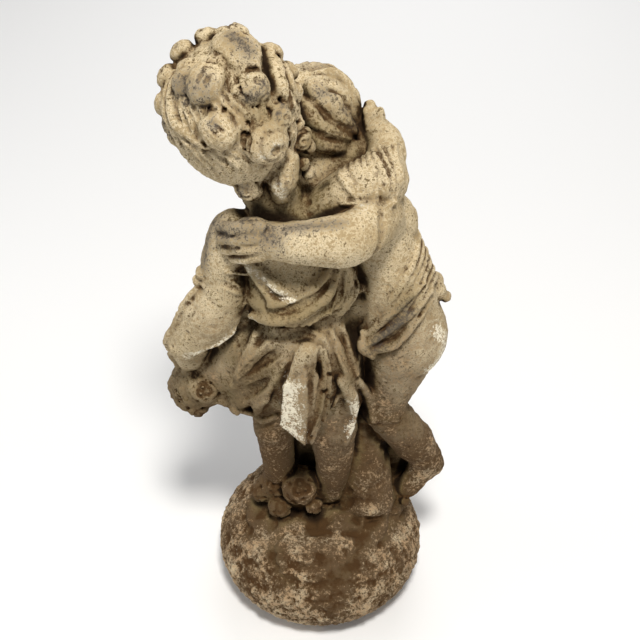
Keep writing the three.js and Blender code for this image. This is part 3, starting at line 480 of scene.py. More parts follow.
# the sash's loose end: a kite of cloth with a ridge down its middle
add(limb((-9, -46, 222), 8, (-16, -47, 190), 10), 3)
add(panel([(-9, -50, 212), (-29, -54, 188), (-32, -53, 148), (-11, -58, 130), (-7, -60, 176)], 6), 0.8)
add(panel([(-9, -50, 212), (-7, -60, 176), (-11, -58, 130), (0, -50, 146), (5, -46, 180)], 7), 2)
lay([(-13, -47, 220), (-19, -50, 206), (-28, -52, 190)], [1, 2, 1.6], 0, 4)
score([(-34, -48, 186), (-37, -46, 160), (-34, -46, 142)], [1.5, 3, 2], 0.2, 1)
score([(-7, -62, 196), (-5, -62, 172), (-8, -60, 140)], [1.4, 2.2, 1.4], -0.8, 0.6)
# the rougher cloth right of it, folded down towards her right leg
for line in [
    [(0, -44, 224), (4, -48, 200), (0, -54, 168), (-6, -56, 144)],
    [(6, -44, 220), (12, -47, 196), (9, -50, 168), (2, -50, 148)],
    [(14, -40, 214), (20, -42, 190), (18, -46, 166), (10, -46, 146)],
]:
    lay(line, [1.2, 2.8, 2.8, 1.4], 0.8, 2.5)
    score(shifted(line, -3.4, -2, -2), [0.8, 1.8, 1.8, 0.8], 0, 1)
for place in [(10, -48, 196), (15, -46, 186), (6, -52, 182), (12, -48, 172)]:
    drill(clay.on_surface(vec(place)), vec((0.1, -1, 0.3)), 2.2, 0.4)
# the cloth that falls over her right leg, its edge turned out
lay([(16, -41, 186), (26, -40, 163), (31, -38, 143), (29, -37, 124), (22, -36, 104)],
    [4, 6.5, 6.5, 5, 2.5], 1, 3)
lay([(34, -31, 176), (40, -20, 142), (46, -19, 116)], [3, 5, 3], 1, 3)
score([(10, -44, 182), (18, -46, 160), (21, -44, 138), (18, -42, 114)], [1, 2.4, 2.4, 1.2], 0.3, 1.2)
score([(34, -36, 170), (38, -30, 146), (37, -30, 118)], [1.2, 2.6, 1.4], 0.3, 1.5)


# His sash: thin cloth, carved in the concrete, wound over the near hip and knotted behind. Ridges
# and channels by turns run between its two edges.

sash_edges = [
    [(34, -10, 214), (54, -22, 252), (63, -18, 267), (72, -6, 281), (74, 20, 286), (60, 40, 270),
     (34, 44, 228)],
    [(37, -29, 203), (61, -32, 215), (79, -26, 237), (90, -6, 252), (92, 18, 246), (74, 44, 226),
     (40, 44, 190)],
]
for fold in range(11):
    share = fold / 10
    line = [between(a, b, share) for a, b in zip(*sash_edges)]
    if fold % 2 == 0:
        lay(line, [3.2, 3.4, 3], 0.7, 1.8)
    else:
        score(line, [1.5, 1.7, 1.5], 0, 1)
# the folds draw together where the sash turns under in front
for line in [
    [(36, -24, 217), (51, -24, 234), (67, -26, 255), (80, -12, 262)],
    [(36, -28, 210), (54, -32, 227), (73, -26, 243), (90, -8, 250)],
    [(38, -28, 204), (59, -30, 212), (78, -28, 229), (94, -6, 240)],
]:
    lay(line, [3.6, 2.8, 2.4, 1.2], 0.9, 1.8)
lay([(30, -22, 222), (34, -30, 211), (42, -33, 200)], [3, 5, 3], 1, 2)
add(ball((94, 14, 232), 8), 2)
add(ball((101, 14, 226), 5), 2)
add(limb((92, 18, 240), 7, (92, 24, 214), 6), 3)
add(egg((64, 14, 306), (10, 12, 19), (0, -20, 0)), 4)


# The heads: hers is a mass of curls drilled with small holes, his has wavy locks combed down from
# the crown. The faces are calm and round, with closed lips. Each lock is a lump or a rope of clay.

def face(centre, forward, up, size):
    front = unit(forward)
    side = unit(np.cross(front, up))
    crown = np.cross(side, front)

    def place(a, b, c):
        return vec(centre) + (side * a + crown * b + front * c) * size

    def lump(a, b, c, radius):
        return ball(place(a, b, c), size * radius)

    def bar(a, b, radius):
        return limb(place(*a), size * radius, place(*b), size * radius)

    def ridge(points, radii):
        return rope([place(*point) for point in points], [size * radius for radius in radii])

    add(lump(0, 0.05, 0, 0.95), 4)
    add(lump(0, 0.3, 0.27, 0.68), 6)
    add(lump(0, -0.45, 0.6, 0.34), 8)
    add(lump(0, -0.74, 0.62, 0.23), 5)
    for half in (-1, 1):
        # the cheek, the eye's socket and the eye
        add(lump(half * 0.36, -0.32, 0.56, 0.37), 6)
        cut(limb(place(half * 0.26, 0.02, 1), size * 0.2, place(half * 0.44, 0, 0.9), size * 0.18), 2)
        add(lump(half * 0.33, -0.01, 0.7, 0.17), 1)
        # the upper lid and the brow
        lid = [(half * 0.2, -0.01, 0.86), (half * 0.33, 0.07, 0.88), (half * 0.47, -0.03, 0.76)]
        add(ridge(lid, [0.025, 0.035, 0.025]), 1)
        brow = [(half * 0.13, 0.2, 0.92), (half * 0.34, 0.27, 0.87), (half * 0.52, 0.16, 0.72)]
        add(ridge(brow, [0.04, 0.06, 0.03]), 2)
        # the wing of the nose, the nostril and the line of the mouth
        add(lump(half * 0.11, -0.25, 0.99, 0.07), 1.5)
        cut(lump(half * 0.06, -0.33, 1.02, 0.035), 1)
        mouth = [place(half * 0.02, -0.47, 1.02), place(half * 0.21, -0.45, 0.9)]
        score(mouth, [size * 0.03, size * 0.02], 0.2, 1)
    # the nose and the lips
    add(limb(place(0, 0.08, 0.9), size * 0.09, place(0, -0.2, 1.02), size * 0.13), 3)
    add(bar((-0.12, -0.43, 0.94), (0.12, -0.43, 0.94), 0.06), 1.5)
    add(bar((-0.08, -0.53, 0.93), (0.08, -0.53, 0.93), 0.065), 1.5)


def on_hair(head, bearing, height, out=1.0):
    centre, half, turn = head
    a, h = radians(bearing), radians(height)
    way = vec([sin(a) * cos(h), -cos(a) * cos(h), sin(h)])
    return vec(centre) + turned(turn) @ (way * half * out)


def along_hair(head, line, out=1.0):
    return [on_hair(head, bearing, height, out) for bearing, height in line]


def axes_round(outward, hint=(0.3, 0.5, 0.8)):
    n = unit(outward)
    e = unit(np.cross(n, hint))
    return n, e, np.cross(n, e)


def curl(place, outward, size):
    # a flat knob whose lock winds into a drilled hole
    turns, drilled = 1.6, 0.24
    n, e, f = axes_round(outward)
    add(egg(place, (size, size, size * 0.86), axes=np.column_stack([e, f, n])), 1.5)
    winding = []
    for step in range(int(10 * turns) + 1):
        angle = step / 10 * 2 * pi
        lean = radians(82 - 58 * step / (10 * turns))
        way = e * cos(angle) * sin(lean) + f * sin(angle) * sin(lean)
        winding.append(place + size * (way + n * cos(lean) * 0.88))
    cut(rope(winding, [size * 0.05 + 0.5, size * 0.07 + 0.8]), 1)
    cut(ball(place + n * size * 0.86, size * drilled), 1)


GIRL_HEAD = (vec((-60, -1, 405)), vec((45, 46, 53)), (0, -18, 0))
GIRL_LOOKS = unit((0.15, 0.95, -0.25))
add(egg(*GIRL_HEAD), 4)
face(GIRL_HEAD[0] + GIRL_LOOKS * 12, GIRL_LOOKS, (-0.3, 0.2, 0.95), 42)
# fine wavy strands from the crown down, clear of the face
for strand in range(40):
    bearing = strand * 9 + 4
    heights = [74, 56, 38, 20, 2, -16, -34]
    if abs(bearing - 175) < 58:
        heights = [78, 66, 54, 42]
    wave = [bearing + (4 if i % 2 else -4) for i in range(len(heights))]
    lay(along_hair(GIRL_HEAD, zip(wave, heights)), [0.6, 1.3, 1.3, 0.6], 0.1, 1.5)
    beside = [(b + 4.5, h) for b, h in zip(wave, heights)]
    score(along_hair(GIRL_HEAD, beside), [0.4, 0.8, 0.8, 0.4], 0.1, 0.8)
# the long lock and the ridged band at either side of the crown
add(rope([(-36, 14, 441), (-31, -3, 443), (-28, -16, 437), (-20, -18, 423)], [4, 6.5, 7, 4]), 1.5)
cut(rope([(-42, 4, 452), (-38, -10, 446), (-33, -24, 436), (-28, -30, 424)], [1, 2, 2, 1]), 1)
for ridge in range(3):
    line = [(b + 16 * ridge, h) for b, h in [(-106, 54), (-93, 40), (-80, 22), (-52, 6)]]
    add(rope(along_hair(GIRL_HEAD, line, 1.02), [2, 4, 4.5, 2]), 1.5)


def lobe(place, outward, size, tilt=0.0, parting=True):
    # a plump lock of hair, longer than wide, with a parting carved along it
    deep = 0.8
    n, e, f = axes_round(outward, (0, 0, 1))
    a = radians(tilt)
    e, f = e * cos(a) + f * sin(a), f * cos(a) - e * sin(a)
    add(egg(place, (size * 0.84, size, size * deep), axes=np.column_stack([e, f, n])), 2)
    if parting:
        for off in (-0.52, -0.2, 0.14, 0.48):
            arc = [
                place + e * size * (off + 0.16 * cos(t * 2.2)) + f * size * t * 0.8
                + n * size * deep * sqrt(max(0.05, 1 - 0.5 * t * t - off * off))
                for t in (-1, -0.5, 0, 0.5, 1)
            ]
            cut(rope(arc, [0.7, size * 0.05 + 0.9, 0.7]), 1)


# plump locks: degrees round from the front, degrees up, size, tilt
for bearing, height, size, tilt in [
    (74, 63, 19, 20), (139, 56, 10, 60), (-121, 62, 9.5, 0), (-42, 57, 11, 10), (-4, 54, 16, -6),
    (-4, 17, 14, 50), (-175, 68, 9, 0), (153, 63, 8, 0), (-84, 27, 8, 0), (-76, 13, 8, 0),
    (-73, 3, 6.5, 0), (-98, 44, 9, 0), (107, 13, 8, 0), (104, 34, 9, 20), (83, -32, 8.5, 0),
    (77, -42, 8, 0), (66, -48, 7.5, 0), (-60, 66, 8, 40), (18, 66, 9, -30),
]:
    place = on_hair(GIRL_HEAD, bearing, height)
    # those on the outline stand out from the head, the others are set into it
    stand = 0.4 if abs(bearing) > 80 else -0.05
    lobe(place + unit(place - GIRL_HEAD[0]) * size * stand, place - GIRL_HEAD[0], size, tilt)
place = on_hair(GIRL_HEAD, 60, 49)
lobe(place, place - GIRL_HEAD[0], 10.5, parting=False)
# curls wound round a drilled hole
for bearing, height, size in [
    (46, 35, 12), (52, 4, 10), (32, -7, 16), (101, -1, 8), (59, -15, 5), (84, -22, 5.5),
    (28, 40, 5), (20, -26, 4.5),
    (-140, 38, 10), (-120, 14, 10), (-150, 8, 9), (165, 42, 10), (-112, -14, 9), (135, 22, 9),
]:
    place = on_hair(GIRL_HEAD, bearing, height)
    outward = unit(place - GIRL_HEAD[0])
    curl(place - outward * size * 0.06, outward, size)
# two long wavy ribbons of hair beside the crown, a deep groove between them
for line in [
    [(120, 34), (98, 22), (86, 12), (92, -6)],
    [(118, 46), (96, 38), (76, 28), (70, 12)],
]:
    add(rope(along_hair(GIRL_HEAD, line, 1.02), [2.5, 5, 4.6, 1.5]), 2)
line = along_hair(GIRL_HEAD, [(112, 38), (90, 27), (70, 14), (64, -2)], 1.1)
cut(rope(line, [1, 2, 2, 1]), 1.5)
line = along_hair(GIRL_HEAD, [(110, 48), (84, 44), (62, 30), (56, 16)], 1.12)
cut(rope(line, [0.8, 1.6, 1.6, 0.8]), 1.2)
# holes bored between the curls to give them shadow
for bearing, height, wide in [
    (40, 42, 2.2), (52, 36, 1.8), (36, 22, 1.8), (60, 12, 2), (46, 14, 1.6), (62, -4, 1.8),
    (18, 8, 1.7), (14, -4, 1.6), (56, -24, 2), (40, -22, 1.6), (72, -30, 1.8), (66, 50, 1.8),
    (24, 58, 1.8), (-8, 36, 1.8), (-36, 46, 1.6), (70, 20, 2.2), (92, 6, 2), (74, 2, 1.8),
    (-80, 22, 1.6), (-82, 40, 1.6), (96, 54, 1.6), (8, 30, 1.4), (24, 14, 1.5), (78, -16, 1.8),
]:
    place = on_hair(GIRL_HEAD, bearing, height)
    drill(place, place - GIRL_HEAD[0], wide, bearing * 0.7)
# the long curl that hangs beside her nape, scaled like a cone, and the round one by it
add(rope([(-22, -20, 380), (-27, -24, 368), (-28, -24, 352)], [8, 12, 7]), 2)
for ring in range(5):
    z = 380 - ring * 6.5
    arc = [
        (-26 + 13 * sin(t), -22 - 13.5 * cos(t), z + 4 * cos(3 * t))
        for t in (-1.3, -0.6, 0, 0.6, 1.3)
    ]
    score(arc, [0.6, 1.3, 0.6], 0.1, 0.8)
for rib in range(4):
    t = -0.8 + rib * 0.5
    line = [(-26 + 12 * sin(t), -22 - 13 * cos(t), z) for z in (378, 364, 352)]
    score(line, [0.5, 0.9, 0.5], 0, 0.8)
add(rope([(-44, -22, 374), (-50, -24, 364)], [8, 9]), 2)
curl(vec((-50, -26, 361)), (-0.2, -0.85, 0.2), 11)
curl(vec((-14, -8, 388)), (0.5, -0.8, 0.3), 8.5)
curl(vec((-8, -4, 380)), (0.8, -0.6, 0.3), 6)
curl(vec((-12, -14, 372)), (0.5, -0.8, 0.1), 5.5)
lobe(vec((-8, -10, 362)), vec((0.6, -0.8, 0.1)), 6)
drill(vec((-38, -32, 364)), vec((0, -1, 0)), 2)

BOY_HEAD = (vec((-6, 51, 369)), vec((34, 36, 37)), (0, 0, 0))
BOY_LOOKS = unit((-0.85, 0.4, 0.3))
add(egg(*BOY_HEAD), 4)
face(BOY_HEAD[0] + BOY_LOOKS * 8, BOY_LOOKS, (0.25, 0, 1), 33)
# thick locks combed over from the crown, five fine grooves along each
combed = [
    [(150, 88), (128, 66), (116, 40), (97, 15), (83, -7)],
    [(-7, 80), (50, 68), (70, 42), (80, 10), (84, -16)],
    [(-33, 66), (13, 56), (38, 34), (56, 6), (66, -16)],
    [(-24, 50), (-6, 40), (14, 20), (46, 2), (72, -18)],
    [(-30, 22), (4, 6), (30, -8), (56, -24)],
]
for b in (122, 146, 170, 194, 218):
    combed.append([(b, 84), (b + 6, 60), (b - 4, 34), (b + 4, 8), (b - 2, -18)])
for line in combed:
    add(rope(along_hair(BOY_HEAD, line), [3, 6.4, 6.8, 6, 3]), 2.5)
for line in combed:
    for off in (-9, -4, 1, 6, 11):
        wave = [(b + off + 3 * (i % 2), h + off * 0.5) for i, (b, h) in enumerate(line)]
        score(along_hair(BOY_HEAD, wave, 1.2), [0.4, 0.9, 1, 0.9, 0.4], 0, 0.7)
gap = [between(a, b, 0.5) for a, b in zip(combed[2], combed[3])]
cut(rope(along_hair(BOY_HEAD, gap[1:], 1.12), [0.8, 1.8, 2, 1]), 1.5)
for bearing, height, size, tilt in [(10, 64, 9, 40), (36, 44, 8, 60), (-4, 34, 8, 70)]:
    place = on_hair(BOY_HEAD, bearing, height, 1.06)
    lobe(place, place - BOY_HEAD[0], size, tilt)


# Her arms: carved in the casting, a wide sleeve to the left elbow with a corded seam, and the right
# arm round his neck under a sleeve with fine pleats. Each finger is a short rope of clay.

def hand(wrist, along, across, size):
    reach = unit(along)
    side = unit(across)
    down = unit(np.cross(reach, side))

    def place(a, b, c):
        return vec(wrist) + (reach * a + side * b + down * c) * size

    add(egg(place(0.35, 0, 0), (size * 0.42, size * 0.42, size * 0.34)), 3)
    for finger in range(4):
        lane = (finger - 1.5) * 0.3
        tip = 1.15 - 0.08 * abs(finger - 1.5)
        line = [place(0.4, lane * 0.8, 0), place(0.8, lane, -0.02), place(tip, lane * 1.1, 0.16)]
        add(rope(line, [size * 0.17, size * 0.165, size * 0.13]), 1)
    add(rope([place(0.1, 0.4, 0.1), place(0.6, 0.7, 0.15)], [size * 0.18, size * 0.14]), 1.5)


add(rope([(-64, -14, 310), (-73, -17, 286), (-76, -18, 266)], [19, 17, 14]), 5)
# the bell of the sleeve, open below
add(rope([(-70, -21, 266), (-86, -20, 238), (-108, -16, 202)], [16, 21, 14]), 3)
add(egg((-84, -20, 232), (16, 17, 38), (0, 38, 0)), 4)
lay([(-58, -25, 258), (-60, -28, 240), (-68, -30, 222), (-84, -36, 212), (-100, -34, 204)],
    [1.5, 2.2, 2.4, 2.4, 1.5], 0.8, 1.5)
score([(-54, -26, 252), (-57, -28, 236), (-66, -28, 214), (-84, -34, 204), (-98, -32, 197)],
      [1.5, 3, 3.4, 3.4, 2.4], 0, 1)
add(rope([(-100, -12, 206), (-106, -2, 180), (-105, 12, 156)], [14, 15, 12]), 4)
hand((-105, 14, 156), (-0.1, 0.5, -0.9), (0.9, 0.3, 0), 18)
for knob, size in [((-88, -20, 278), 6), ((-92, -19, 270), 5), ((-87, -24, 270), 4)]:
    add(ball(knob, size), 1)
lay([(-91, -22, 264), (-99, -22, 246), (-111, -20, 224), (-120, -16, 204), (-124, -8, 184)],
    [2.5, 3, 3, 3, 2.5], 1.2, 1)
score([(-85, -26, 262), (-94, -28, 244), (-106, -26, 222), (-114, -22, 206)],
      [1.5, 1.8, 1.8, 1.5], 0.3, 1)
for fold in range(3):
    z = 272 + fold * 8
    lay([(-72, -34, z + 3), (-64, -36, z), (-57, -35, z - 5)], [0.8, 1.8, 1], 0.3, 1.5)
    score([(-72, -33, z - 1), (-64, -36, z - 4), (-57, -35, z - 8)], [0.6, 1.2, 0.6], 0, 1)
add(rope([(4, -4, 326), (24, -4, 342), (44, 2, 347)], [18, 19, 21]), 4)
add(limb((44, -2, 338), 16, (46, -16, 322), 6), 4)
add(rope([(46, 6, 350), (49, 26, 360), (40, 42, 366)], [16, 14, 12]), 4)
hand((38, 44, 366), (-0.7, 0.6, 0.2), (0.1, -0.4, 0.9), 17)
# pleats that run over the sleeve to its pointed edge
for fold in range(10):
    share = fold / 9
    line = [
        between((14, 6, 357), (54, 18, 367), share),
        between((16, -9, 357), (56, 2, 366), share),
        between((24, -22, 352), (60, -9, 357), share),
        between((38, -31, 339), (59, -21, 341), share),
    ]
    size = 2 if fold % 3 else 2.8
    lay(line, [0.8, size, size, 1.2], 0.4, 2.5)
    score(shifted(line, 2, -0.6, 0.2), [0.6, 1.2, 1.3, 0.8], 0, 1.2)
lay([(16, -24, 344), (30, -31, 343), (45, -34, 336), (56, -20, 342)], [2, 2.6, 2.8, 1.6], 0.4, 2)
# her hand behind his head, the fingers up
add(rope([(44, 34, 362), (40, 40, 374), (37, 44, 384)], [10, 8, 5]), 2)
for finger in range(3):
    add(rope([(36 + finger * 5, 34, 372), (34 + finger * 5, 38, 384)], [3.6, 3.2]), 1)


# His arms: bare and plump, cast against her. The near one lies across her back to the far
# shoulder, its fingers parted by fine channels, and the other goes round her waist.

add(rope([(44, -6, 322), (36, -26, 326), (25, -36, 326)], [18, 18, 17]), 4)
add(rope([(26, -36, 326), (-14, -45, 326), (-50, -38, 324)], [17, 15, 13]), 4)
add(egg((-52, -40, 330), (15, 9, 13), (0, -14, 24)), 4)
# the fingers over her shoulder
for start, middle, end, size in [
    ((-42, -46, 340), (-57, -44, 338), (-72, -30, 329), 5),
    ((-43, -49, 333), (-57, -46, 330), (-72, -32, 319), 5),
    ((-43, -50, 325), (-56, -46, 321), (-69, -33, 310), 4.8),
    ((-42, -49, 317), (-53, -45, 312), (-64, -34, 303), 4.4),
]:
    add(rope([start, middle, end], [size, size, size * 0.8]), 1.2)
for line in [
    [(-46, -50, 336), (-58, -48, 334), (-72, -35, 324)],
    [(-46, -52, 329), (-57, -49, 325), (-71, -35, 314)],
    [(-46, -52, 321), (-55, -48, 316), (-66, -36, 306)],
]:
    score(line, [0.6, 1.2, 1], 0, 0.8)
add(rope([(36, -28, 334), (28, -38, 326), (14, -44, 324), (-16, -46, 326)], [12, 17, 18, 14]), 4)
score([(44, -28, 345), (43, -38, 337), (40, -44, 326), (32, -46, 312), (24, -44, 304)],
      [1, 2.8, 3, 2.6, 1], -0.6, 1)
score([(-40, -46, 306), (-14, -56, 308), (14, -54, 304), (30, -46, 302)], [1, 1.8, 1.8, 1], 0.4, 1)
add(rope([(34, 36, 310), (22, 52, 284), (4, 50, 262)], [18, 16, 15]), 4)
add(rope([(6, 50, 264), (-12, 46, 262), (-28, 42, 260)], [14, 12, 11]), 3)
hand((-28, 40, 260), (-1, -0.2, 0), (0, 0.1, 1), 17)


# The roses: carved in the same concrete, a gathered pouch of them on her left side and fallen ones
# at her feet. Each is a ball with rings of petals laid on it and a groove inside each ring.

def rose(centre, outward, size, petals=3):
    # petals in rings that overlap, closed at the heart
    n, e, f = axes_round(outward)
    c = vec(centre)
    add(ball(c, size * 0.92), 1.5)
    for ring in range(petals):
        lean = radians(78 - 62 * ring / petals)
        count = 5 - ring if ring < 3 else 3
        for petal in range(count):
            angle = (petal + 0.5 * ring) * 2 * pi / count
            round_about = e * cos(angle) + f * sin(angle)
            way = round_about * sin(lean) + n * cos(lean)
            along = unit(np.cross(way, np.cross(n, round_about)))
            axes = np.column_stack([np.cross(along, way), along, way])
            add(egg(c + way * size * 0.88, (size * 0.5, size * 0.44, size * 0.2), axes=axes), 0.4)
        inner = lean - radians(11)
        turn = []
        for step in range(13):
            angle = step / 12 * 2 * pi
            wobble = inner + radians(5) * cos(count * angle + ring)
            way = (e * cos(angle) + f * sin(angle)) * sin(wobble) + n * cos(wobble)
            turn.append(c + way * size * 1.01)
        cut(rope(turn, [size * 0.06 + 0.8, size * 0.06 + 0.8]), 0.8)
    cut(ball(c + n * size, size * 0.17), 1)


add(egg((-104, 6, 138), (23, 24, 25), (0, 12, 0)), 6)
add(egg((-112, 4, 124), (14, 16, 12)), 5)
rose((-97, -9, 148), (0.08, -0.9, 0.45), 14.5, 4)
for x, y, z, size in [
    (-114, -4, 136, 9), (-104, -8, 122, 9), (-98, 26, 138, 10), (-114, 24, 134, 10), (-84, 12, 124, 8),
]:
    rose((x, y, z), vec((x, y, z)) - (-106, 14, 130), size)
lay([(-125, -6, 180), (-127, -2, 160), (-127, 1, 141), (-126, 4, 122)], [2.5, 2.5, 2.5, 2], 0.5, 1)
score([(-80, -24, 150), (-82, -22, 138), (-78, -20, 126)], [1.2, 2.4, 1.4], 0.3, 1)
add(egg((-26, -6, 16), (34, 17, 18)), 8)
for x, y, z, size, petals in [
    (-18, -16, 30, 17, 4), (-39, -14, 26, 9.5, 3), (-54, -10, 14, 9, 2), (-36, -24, 10, 10, 3),
    (-6, -26, 14, 8, 2),
]:
    rose((x, y, z), (0.1, -1, 0.8), size, petals)
drill(vec((-31, -24, 30)), vec((0, -0.8, 0.6)), 4)
# slit ledges in the rock before them
for line in [
    [(-34, -40, 2), (-16, -46, 0), (4, -44, 2)],
    [(-40, -60, -12), (-14, -72, -18), (10, -66, -14)],
    [(-60, -40, -12), (-40, -58, -12), (-20, -62, -12)],
    [(20, -40, 4), (40, -44, 0), (60, -34, -2)],
]:
    score(line, [0.8, 2.6, 0.8], 0, 1.5)


# The casting: the clay's surface becomes the concrete's skin, one closed mesh, roughened with lumps
# and chips by years outdoors and pitted by air in the mould and by frost

TRIANGLES = 190000
TALLEST_LUMP = 1.6
ROCK_LUMPS_REACH = 2.6
UNDERSIDE_DEPTH = 0.4
PITS = 1700
PIT_REACHES = 1.1, 2.6

def noise(points, size, seed):
    # smooth random heights between -1 and 1, one bump to each size
    rng = np.random.default_rng(seed)
    table = rng.uniform(-1, 1, 4096)
    place = vec(points) / size + 50
    knot = np.floor(place).astype(np.int64)
    share = place - knot
    share = share * share * (3 - 2 * share)
    total = 0
    for corner in range(8):
        step = vec([corner & 1, corner >> 1 & 1, corner >> 2 & 1]).astype(np.int64)
        at = knot + step
        key = (at[:, 0] * 73856093) ^ (at[:, 1] * 19349663) ^ (at[:, 2] * 83492791)
        total = total + table[key & 4095] * np.prod(np.where(step, share, 1 - share), axis=-1)
    return total


def skin(field, low, grain):
    # a quad wherever two neighbouring knots lie on either side of the surface
    inside = field < 0
    total = 0
    for i, j, k in np.ndindex(2, 2, 2):
        total = total + inside[i:i - 1 or None, j:j - 1 or None, k:k - 1 or None].astype(np.int8)
    cells = np.argwhere((total > 0) & (total < 8))
    names = np.full(np.array(inside.shape) - 1, -1, dtype=np.int32)
    names[tuple(cells.T)] = np.arange(len(cells))
    place = np.zeros((len(cells), 3))
    crossings = np.zeros(len(cells))
    for axis in range(3):
        for corner in np.ndindex(2, 2, 2):
            if corner[axis] == 1:
                continue
            p = cells + corner
            q = p + (np.arange(3) == axis)
            first = field[tuple(p.T)].astype(float)
            second = field[tuple(q.T)].astype(float)
            crosses = (first < 0) != (second < 0)
            share = np.where(crosses, first / np.where(crosses, first - second, 1), 0)
            at = p.astype(float)
            at[:, axis] += share
            place[crosses] += at[crosses]
            crossings += crosses
    points = low + grain * place / crossings[:, None]
    quads = []
    for axis in range(3):
        span = [slice(1, -1)] * 3
        span[axis] = slice(0, -1)
        ahead = list(span)
        ahead[axis] = slice(1, None)
        here, there = inside[tuple(span)], inside[tuple(ahead)]
        u, v = (axis + 1) % 3, (axis + 2) % 3
        for leaving in (True, False):
            knots = np.argwhere((here != there) & (here == leaving)) + (np.arange(3) != axis)
            ring = []
            for du, dv in [(-1, -1), (0, -1), (0, 0), (-1, 0)]:
                cell = knots.copy()
                cell[:, u] += du
                cell[:, v] += dv
                ring.append(names[tuple(cell.T)])
            quad = np.stack(ring, 1)
            quads.append(quad if leaving else quad[:, ::-1])
    return points, np.vstack(quads)


# the flat underside
floor_line = (clay.low[2] + clay.grain * np.arange(clay.count[2])).astype(np.float32)
clay.field = np.maximum(clay.field, (FLOOR - floor_line)[None, None, :])
points, quads = skin(clay.field, clay.low, clay.grain)
for _ in range(2):
    points = points - clay.outward(points) * clay.distance(points)[:, None] * 0.7
outward = clay.outward(points)

# lumps, grit and chips, deepest on the mound's rock
rock_gap = np.min([np.abs(rock[2](*points.T)) for rock, _ in rocks], axis=0)
rocky = np.clip(1.6 - rock_gap / ROCK_LUMPS_REACH, 0, 1)
ground = np.clip((55 - points[:, 2]) / 50, 0, 1)
rise = 0.45 * noise(points, 7, 1) + 0.45 * noise(points, 3.2, 2)
top = np.clip((points[:, 2] + 34) / 30, 0, 1)
crags = 1 - 2 * np.abs(noise(points, 22, 3))
ridges = 1 - 2 * np.abs(noise(points, 11, 4))
rise += rocky * ((0.5 + 2.2 * top) * crags + (0.7 + 1.5 * top) * ridges - 1.2)
rise += rocky * (0.8 * noise(points, 5, 5) + 0.9 * noise(points, 2.6, 9))
strata = noise(points * (0.35, 0.35, 1.7), 12, 6)
rise -= rocky * (0.6 + top) * 2.4 * np.clip(strata - 0.15, 0, 0.5)
rise += ground * (1 - rocky) * (0.9 * noise(points, 9, 7) + 0.6 * noise(points, 4.5, 8))
flat = points[:, 2] < FLOOR + UNDERSIDE_DEPTH
rise[flat] = 0
rise = np.minimum(rise, TALLEST_LUMP)
points = points + outward * rise[:, None]

# the pits
rng = np.random.default_rng(12)
tree = KDTree(len(points))
for i, p in enumerate(points):
    tree.insert(p, i)
tree.balance()
pits = rng.choice(len(points), PITS, replace=False)
for i, reach in zip(pits, rng.uniform(*PIT_REACHES, len(pits))):
    near = tree.find_range(points[i], reach)
    for _, at, gap in near:
        points[at] -= outward[at] * (1 - (gap / reach) ** 2) * reach * 0.5
points[flat, 2] = FLOOR
points[:, 2] = np.maximum(points[:, 2], FLOOR)

metres = points * PART + (0, 0, MOUND_HEIGHT)
metres[flat, 2] = 0
mesh = bpy.data.meshes.new("cherub_casting")
mesh.vertices.add(len(metres))
mesh.vertices.foreach_set("co", metres.ravel())
mesh.loops.add(quads.size)
mesh.loops.foreach_set("vertex_index", quads.ravel())
mesh.polygons.add(len(quads))
mesh.polygons.foreach_set("loop_start", np.arange(0, quads.size, 4))
mesh.update(calc_edges=True)
mesh.validate()
rough_cast = bpy.data.objects.new("rough_cast", mesh)
bpy.context.collection.objects.link(rough_cast)
thinner = rough_cast.modifiers.new("thinner", "DECIMATE")
thinner.ratio = min(1, TRIANGLES / (2 * len(quads)))
bpy.context.view_layer.update()
thinned = bpy.data.meshes.new_from_object(rough_cast.evaluated_get(bpy.context.evaluated_depsgraph_get()))
bpy.data.objects.remove(rough_cast)
thinned.name = "cherub_casting"
thinned.validate()
# only the shell that the underside belongs to stays, without the crumbs that the carving cut loose
# or shut in, and without the fins, faces that hang on by one edge or a corner
shell = bmesh.new()
shell.from_mesh(thinned)
waiting = [min(shell.verts, key=lambda v: v.co.z)]
reached = set(waiting)
while waiting:
    v = waiting.pop()
    for edge in v.link_edges:
        w = edge.other_vert(v)
        if w not in reached:
            reached.add(w)
            waiting.append(w)
bmesh.ops.delete(shell, geom=[v for v in shell.verts if v not in reached], context="VERTS")
fins = [f for f in shell.faces if sum(e.is_boundary for e in f.edges) > 1]
bmesh.ops.delete(shell, geom=fins, context="FACES")
shell.to_mesh(thinned)
shell.free()
casting = bpy.data.objects.new("cherub_casting", thinned)
bpy.context.collection.objects.link(casting)
thinned.polygons.foreach_set("use_smooth", np.ones(len(thinned.polygons), dtype=bool))


# The concrete: grey-beige cast stone, ochre and brown with dirt, dark with lichen on
# what faces up, and whitish where old paint is left or the skin is worn. Painted shade, partly
# dirt, darkens its creases and recesses, very dark in the deepest, and lies under overhanging parts

CREVICE_REACHES = 2.5, 4.5
HOLLOW_REACHES = 8, 13, 18
BUMP_STRENGTH, BUMP_DEPTH = 0.85, 0.0026
ROUGHNESS, SHINE = 0.92, 0.08

spots = np.empty(len(thinned.vertices) * 3)
thinned.vertices.foreach_get("co", spots)
spots = (spots.reshape(-1, 3) - (0, 0, MOUND_HEIGHT)) / PART
facing = clay.outward(spots)


def closed_in(reaches):
    # how much of the open air is missing this far out: 0 on a bulge, 1 at the bottom of a crack
    total = 0
    for reach in reaches:
        gap = clay.distance(spots + facing * reach)
        total = total + np.clip(1 - gap / reach, 0, 1)
    return total / len(reaches)


def keep(name, values):
    attribute = thinned.attributes.new(name, "FLOAT", "POINT")
    attribute.data.foreach_set("value", values.astype(np.float32))


# painted shade, partly dirt: how closed in each point is, kept to darken the creases and recesses
keep("crevice_shade_and_dirt", closed_in(CREVICE_REACHES))
keep("hollow_shade_and_dirt", closed_in(HOLLOW_REACHES))


